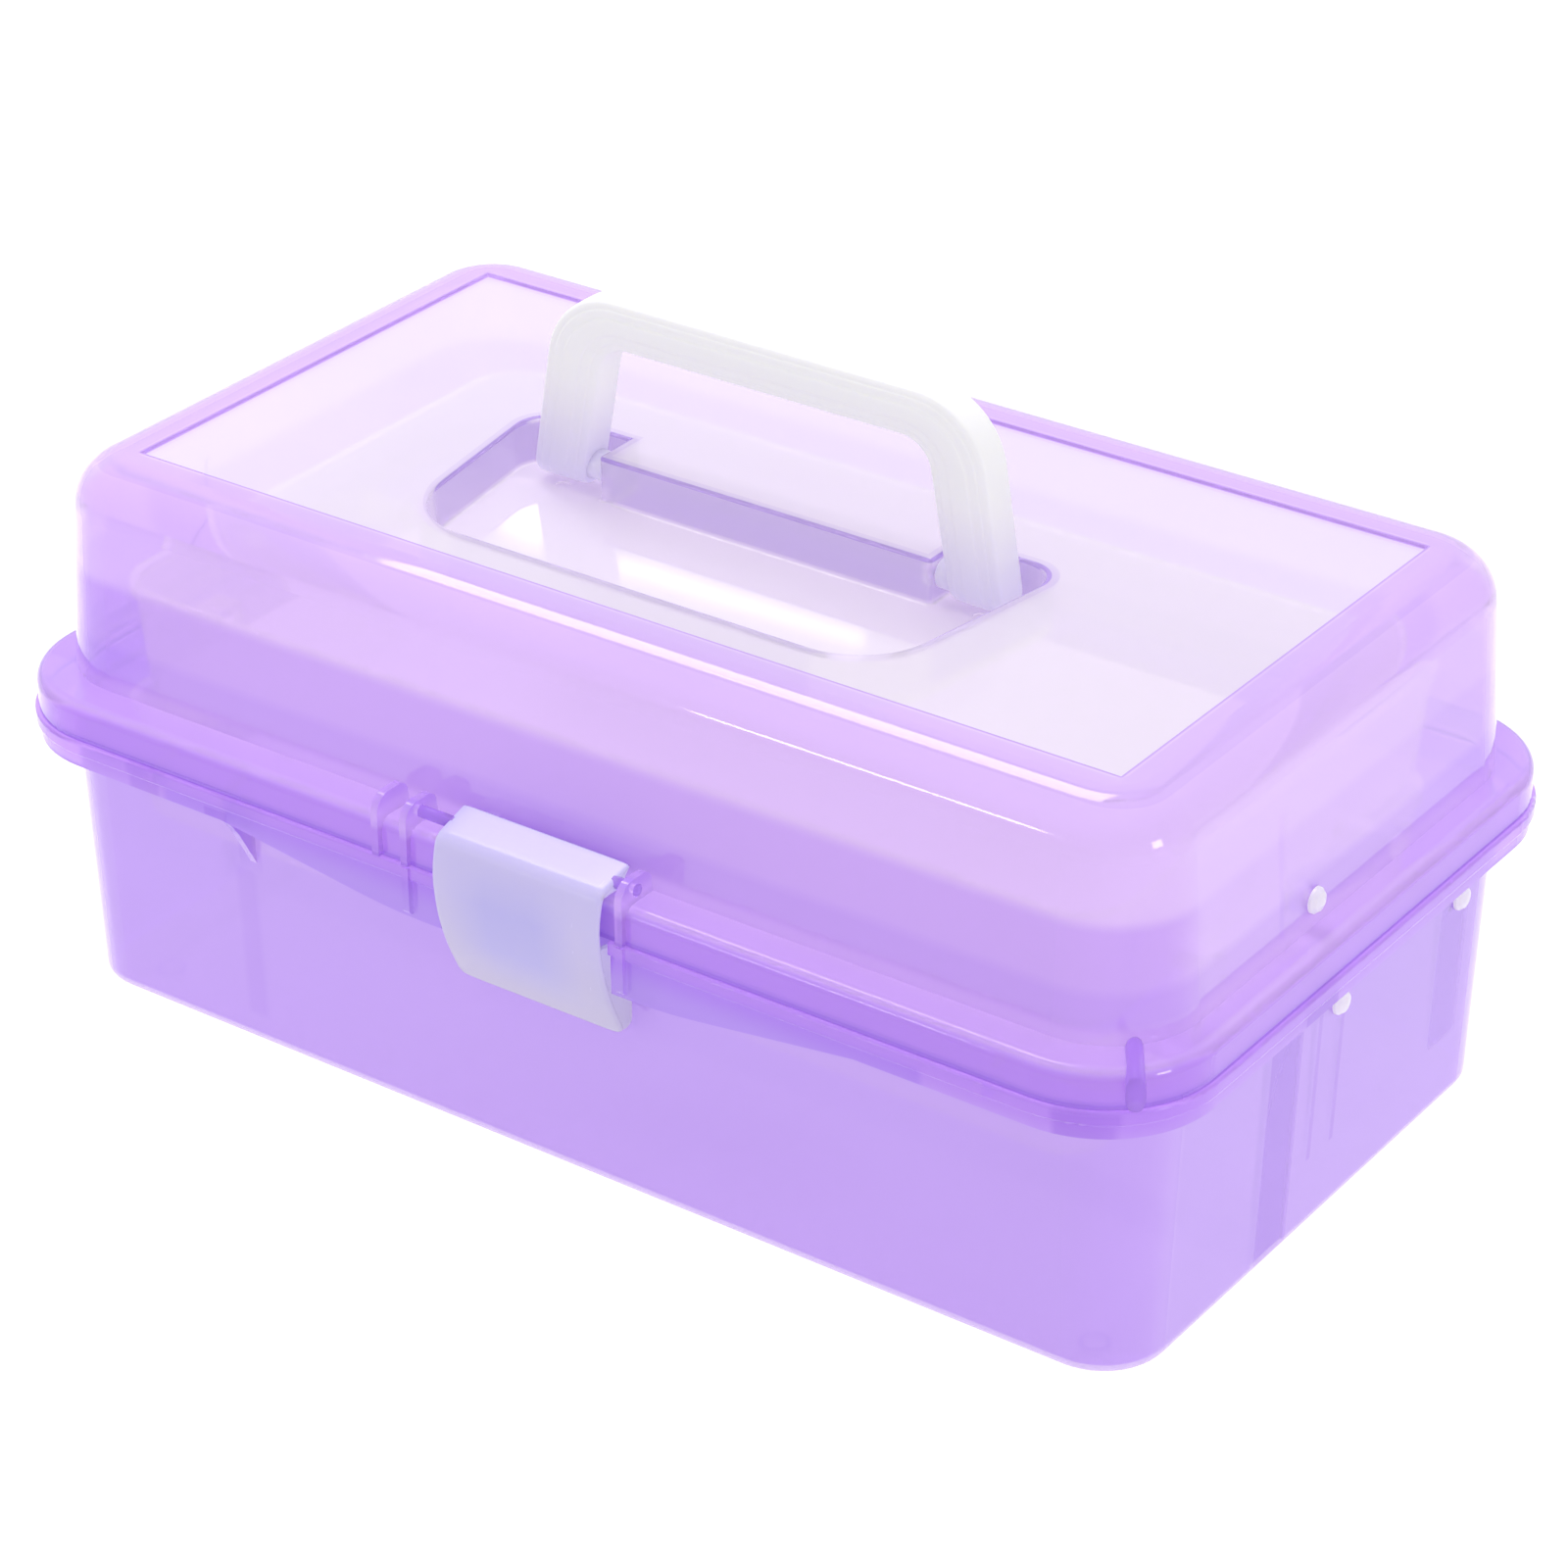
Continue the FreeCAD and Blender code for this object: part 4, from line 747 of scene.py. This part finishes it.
# The lid's right end wall and the foot of its front wall take the lighter colour where light falls
# on them: painted light
LID_PAINTED_LIGHT = [
    box_mark((151, -66, 84), (175, 100, 126), 0.85, 14.0),
    box_mark((-175, -100, 84.5), (175, -80, 90), 0.3, 1.5),
]

# A bluer patch in the middle of the latch's face
LATCH_VEIL = [box_mark((-14, -110, 58), (12, -80, 82), 0.75, 12.0)]

# Finishes: colours at the low and the high level, with the levels of Z in metres
tub_finish = tinted_plastic(
    "tub_plastic", (213, 184, 249), (204, 158, 250), levels=(0.066, 0.074),
    clear=0.6, density=16.0,
    deep=[(SIDE, (196, 160, 242)), (TUB_LINES, (156, 92, 226)), (LOBE, (160, 112, 242))],
)
lid_finish = tinted_plastic(
    "lid_plastic", (218, 185, 252), (236, 211, 255), levels=(0.1124, 0.1162),
    clear=0.66, density=18.0, roughness=0.04,
    deep=[(LID_TOP, (246, 242, 247)), (LID_LOW, (196, 156, 248)), (FLANGE, (192, 132, 238)),
          (LID_LINES_AND_SHADE, (150, 98, 228))],
    painted_light=LID_PAINTED_LIGHT, matt=[PANEL_FLAT, RECESS_EDGE, PANEL_EDGE],
)
tray_finish = tinted_plastic(
    "tray_plastic", (240, 228, 250), (244, 234, 251), levels=(0.05, 0.11),
    clear=0.6, density=15.0, roughness=0.12, gloss=0.0,
)
arm_finish = tinted_plastic(
    "arm_plastic", (222, 200, 248), (222, 200, 248), levels=(0.05, 0.11),
    clear=0.5, density=20.0, roughness=0.12, gloss=0.0,
)
rib_finish = tinted_plastic(
    "rib_plastic", (186, 142, 243), (186, 142, 243), levels=(0.05, 0.11),
    clear=0.4, density=20.0, roughness=0.1, gloss=0.0,
)
stub_finish = tinted_plastic(
    "stub_plastic", (186, 144, 242), (186, 144, 242), levels=(0.05, 0.11),
    clear=0.5, density=20.0, roughness=0.1, gloss=0.0,
)
# The handle's white is greyer and bluer low down and whiter towards its top: painted shade below,
# painted light on top
white_finish = milky_plastic(
    "handle_plastic", (222, 214, 246), (250, 248, 253), levels=(0.13, 0.165), roughness=0.28
)
latch_finish = milky_plastic(
    "latch_plastic", (196, 188, 222), (206, 197, 243), levels=(0.048, 0.088), roughness=0.25,
    veil=LATCH_VEIL, veil_colour=(184, 178, 240),
)
rivet_finish = milky_plastic(
    "rivet_plastic", (236, 228, 250), (236, 228, 250), levels=(0.05, 0.1), roughness=0.25
)
pin_finish = pin_metal("pin_steel")

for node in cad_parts:
    if node == "base_tub":
        paint(node, tub_finish)
    elif node == "lid_shell":
        paint(node, lid_finish)
    elif node.endswith("tray"):
        paint(node, tray_finish)
    elif "_arm_" in node or node.startswith("lid_link"):
        paint(node, arm_finish)
    elif node.startswith("hinge_pin"):
        paint(node, pin_finish)
    elif "rivet" in node:
        paint(node, rivet_finish)
    elif node == "latch":
        paint(node, latch_finish)
    else:
        paint(node, white_finish)

add_piece("carry_handle", [handle_bail(), handle_stub(1), handle_stub(-1)], white_finish,
          "handle", "handle_plastic", "handle")
add_piece("front_latch", latch_skins(), latch_finish, "latch", "latch_plastic", "latch")
add_piece("latch_stubs", latch_stubs(), stub_finish, "latch", "latch_plastic")
add_piece("corner_rib", [corner_rib()], rib_finish, "lid", "lid_plastic")


def shown_to_camera(tree):
    """1 for what the camera sees directly, in a reflection or through clear plastic."""
    path = add_node(tree, "ShaderNodeLightPath")
    seen = math_node(tree, "MAXIMUM", path.outputs["Is Camera Ray"], path.outputs["Is Glossy Ray"])
    return math_node(tree, "MAXIMUM", seen, path.outputs["Is Transmission Ray"])


def add_floor():
    """A pale floor, lifted to white where the camera sees it, which keeps the box's shadow."""
    half = 6.0
    mesh = bpy.data.meshes.new("floor")
    corners = [(-half, -half, 0), (half, -half, 0), (half, half, 0), (-half, half, 0)]
    mesh.from_pydata(corners, [], [(0, 1, 2, 3)])
    floor = bpy.data.objects.new("floor", mesh)
    bpy.context.scene.collection.objects.link(floor)
    material, tree = new_material("floor_white")
    out = add_node(tree, "ShaderNodeOutputMaterial")
    matte = add_node(tree, "ShaderNodeBsdfDiffuse", Color=FLOOR_COLOUR)
    lift = add_node(tree, "ShaderNodeEmission")
    lifted = math_node(tree, "MULTIPLY", shown_to_camera(tree), FLOOR_LIFT)
    tree.links.new(lifted, lift.inputs["Strength"])
    both = add_node(tree, "ShaderNodeAddShader")
    tree.links.new(matte.outputs["BSDF"], both.inputs[0])
    tree.links.new(lift.outputs["Emission"], both.inputs[1])
    tree.links.new(both.outputs["Shader"], out.inputs["Surface"])
    mesh.materials.append(material)


def add_softbox(name, place, size, power, along=None):
    """A rectangular soft light (width, height) that looks at the box, its width along a line."""
    light = bpy.data.lights.new(name, "AREA")
    light.shape = "RECTANGLE"
    light.size, light.size_y = size
    light.energy = power
    lamp = bpy.data.objects.new(name, light)
    behind = (Vector(place) - Vector(LAMP_TARGET)).normalized()
    right = Vector(along).normalized() if along else Vector((0, 0, 1)).cross(behind).normalized()
    behind = (behind - right * behind.dot(right)).normalized()
    turn = Matrix((right, behind.cross(right), behind)).transposed().to_4x4()
    lamp.matrix_world = Matrix.Translation(place) @ turn
    lamp.visible_camera = False
    bpy.context.scene.collection.objects.link(lamp)


def add_world():
    """Even studio light a little under white, seen as white."""
    world = bpy.data.worlds.new("studio")
    world.use_nodes = True
    tree = world.node_tree
    background = tree.nodes["Background"]
    background.inputs["Color"].default_value = (1, 1, 1, 1)
    lifted = math_node(tree, "MULTIPLY_ADD", shown_to_camera(tree), 1 - WORLD_LEVEL, WORLD_LEVEL)
    tree.links.new(lifted, background.inputs["Strength"])
    bpy.context.scene.world = world


def add_camera():
    """The photograph's camera, from its azimuth, elevation, roll and distance."""
    azimuth, elevation = math.radians(CAMERA_AZIMUTH), math.radians(CAMERA_ELEVATION)
    back = Vector((
        math.sin(azimuth) * math.cos(elevation),
        -math.cos(azimuth) * math.cos(elevation),
        math.sin(elevation),
    ))
    right = (-back).cross(Vector((0, 0, 1))).normalized()
    up = right.cross(-back)
    roll = math.radians(CAMERA_ROLL)
    rolled_right = right * math.cos(roll) + up * math.sin(roll)
    rolled_up = -right * math.sin(roll) + up * math.cos(roll)
    turn = Matrix((rolled_right, rolled_up, back)).transposed().to_4x4()
    place = (Vector(CAMERA_TARGET) + back * CAMERA_DISTANCE) * MM
    lens = bpy.data.cameras.new("camera")
    lens.sensor_width = SENSOR
    lens.lens = FOCAL_PIXELS / FRAME_PIXELS * SENSOR
    lens.clip_end = 50
    camera = bpy.data.objects.new("camera", lens)
    camera.matrix_world = Matrix.Translation(place) @ turn
    bpy.context.scene.collection.objects.link(camera)
    bpy.context.scene.camera = camera


add_floor()
add_world()
# Lamps in metres and watts: all but the fill are where a highlight's mirrored camera ray points
add_softbox("top_strip", (-0.46, 0.22, 1.14), (0.7, 0.4), 5.5, (1, 0, 0))
add_softbox("low_strip", (-0.52, -1.13, 0.32), (0.2, 0.06), 0.5, (1, 0, 0))
add_softbox("spot", (1.33, -0.20, 0.30), (0.26, 0.26), 1.8)
add_softbox("top_fill", (0.2, -0.3, 1.6), (1.2, 1.2), 0.6)
add_softbox("upper_tube", (-0.815, 1.147, 0.849), (0.173, 0.009), 0.010, (163, 52, 24))
add_softbox("lower_tube", (-0.829, 1.121, 0.855), (0.149, 0.008), 0.008, (141, 41, 23))
add_softbox("side_tube", (-0.961, 1.097, 0.828), (0.028, 0.03), 0.004, (27, 3, 6))
add_camera()

bpy.context.scene.view_settings.view_transform = "Standard"
# Enough turns for light to get through the walls that lie one behind the other
bpy.context.scene.cycles.max_bounces = 24
bpy.context.scene.cycles.transmission_bounces = 24
bpy.context.scene.cycles.glossy_bounces = 16
bpy.context.scene.cycles.transparent_max_bounces = 32
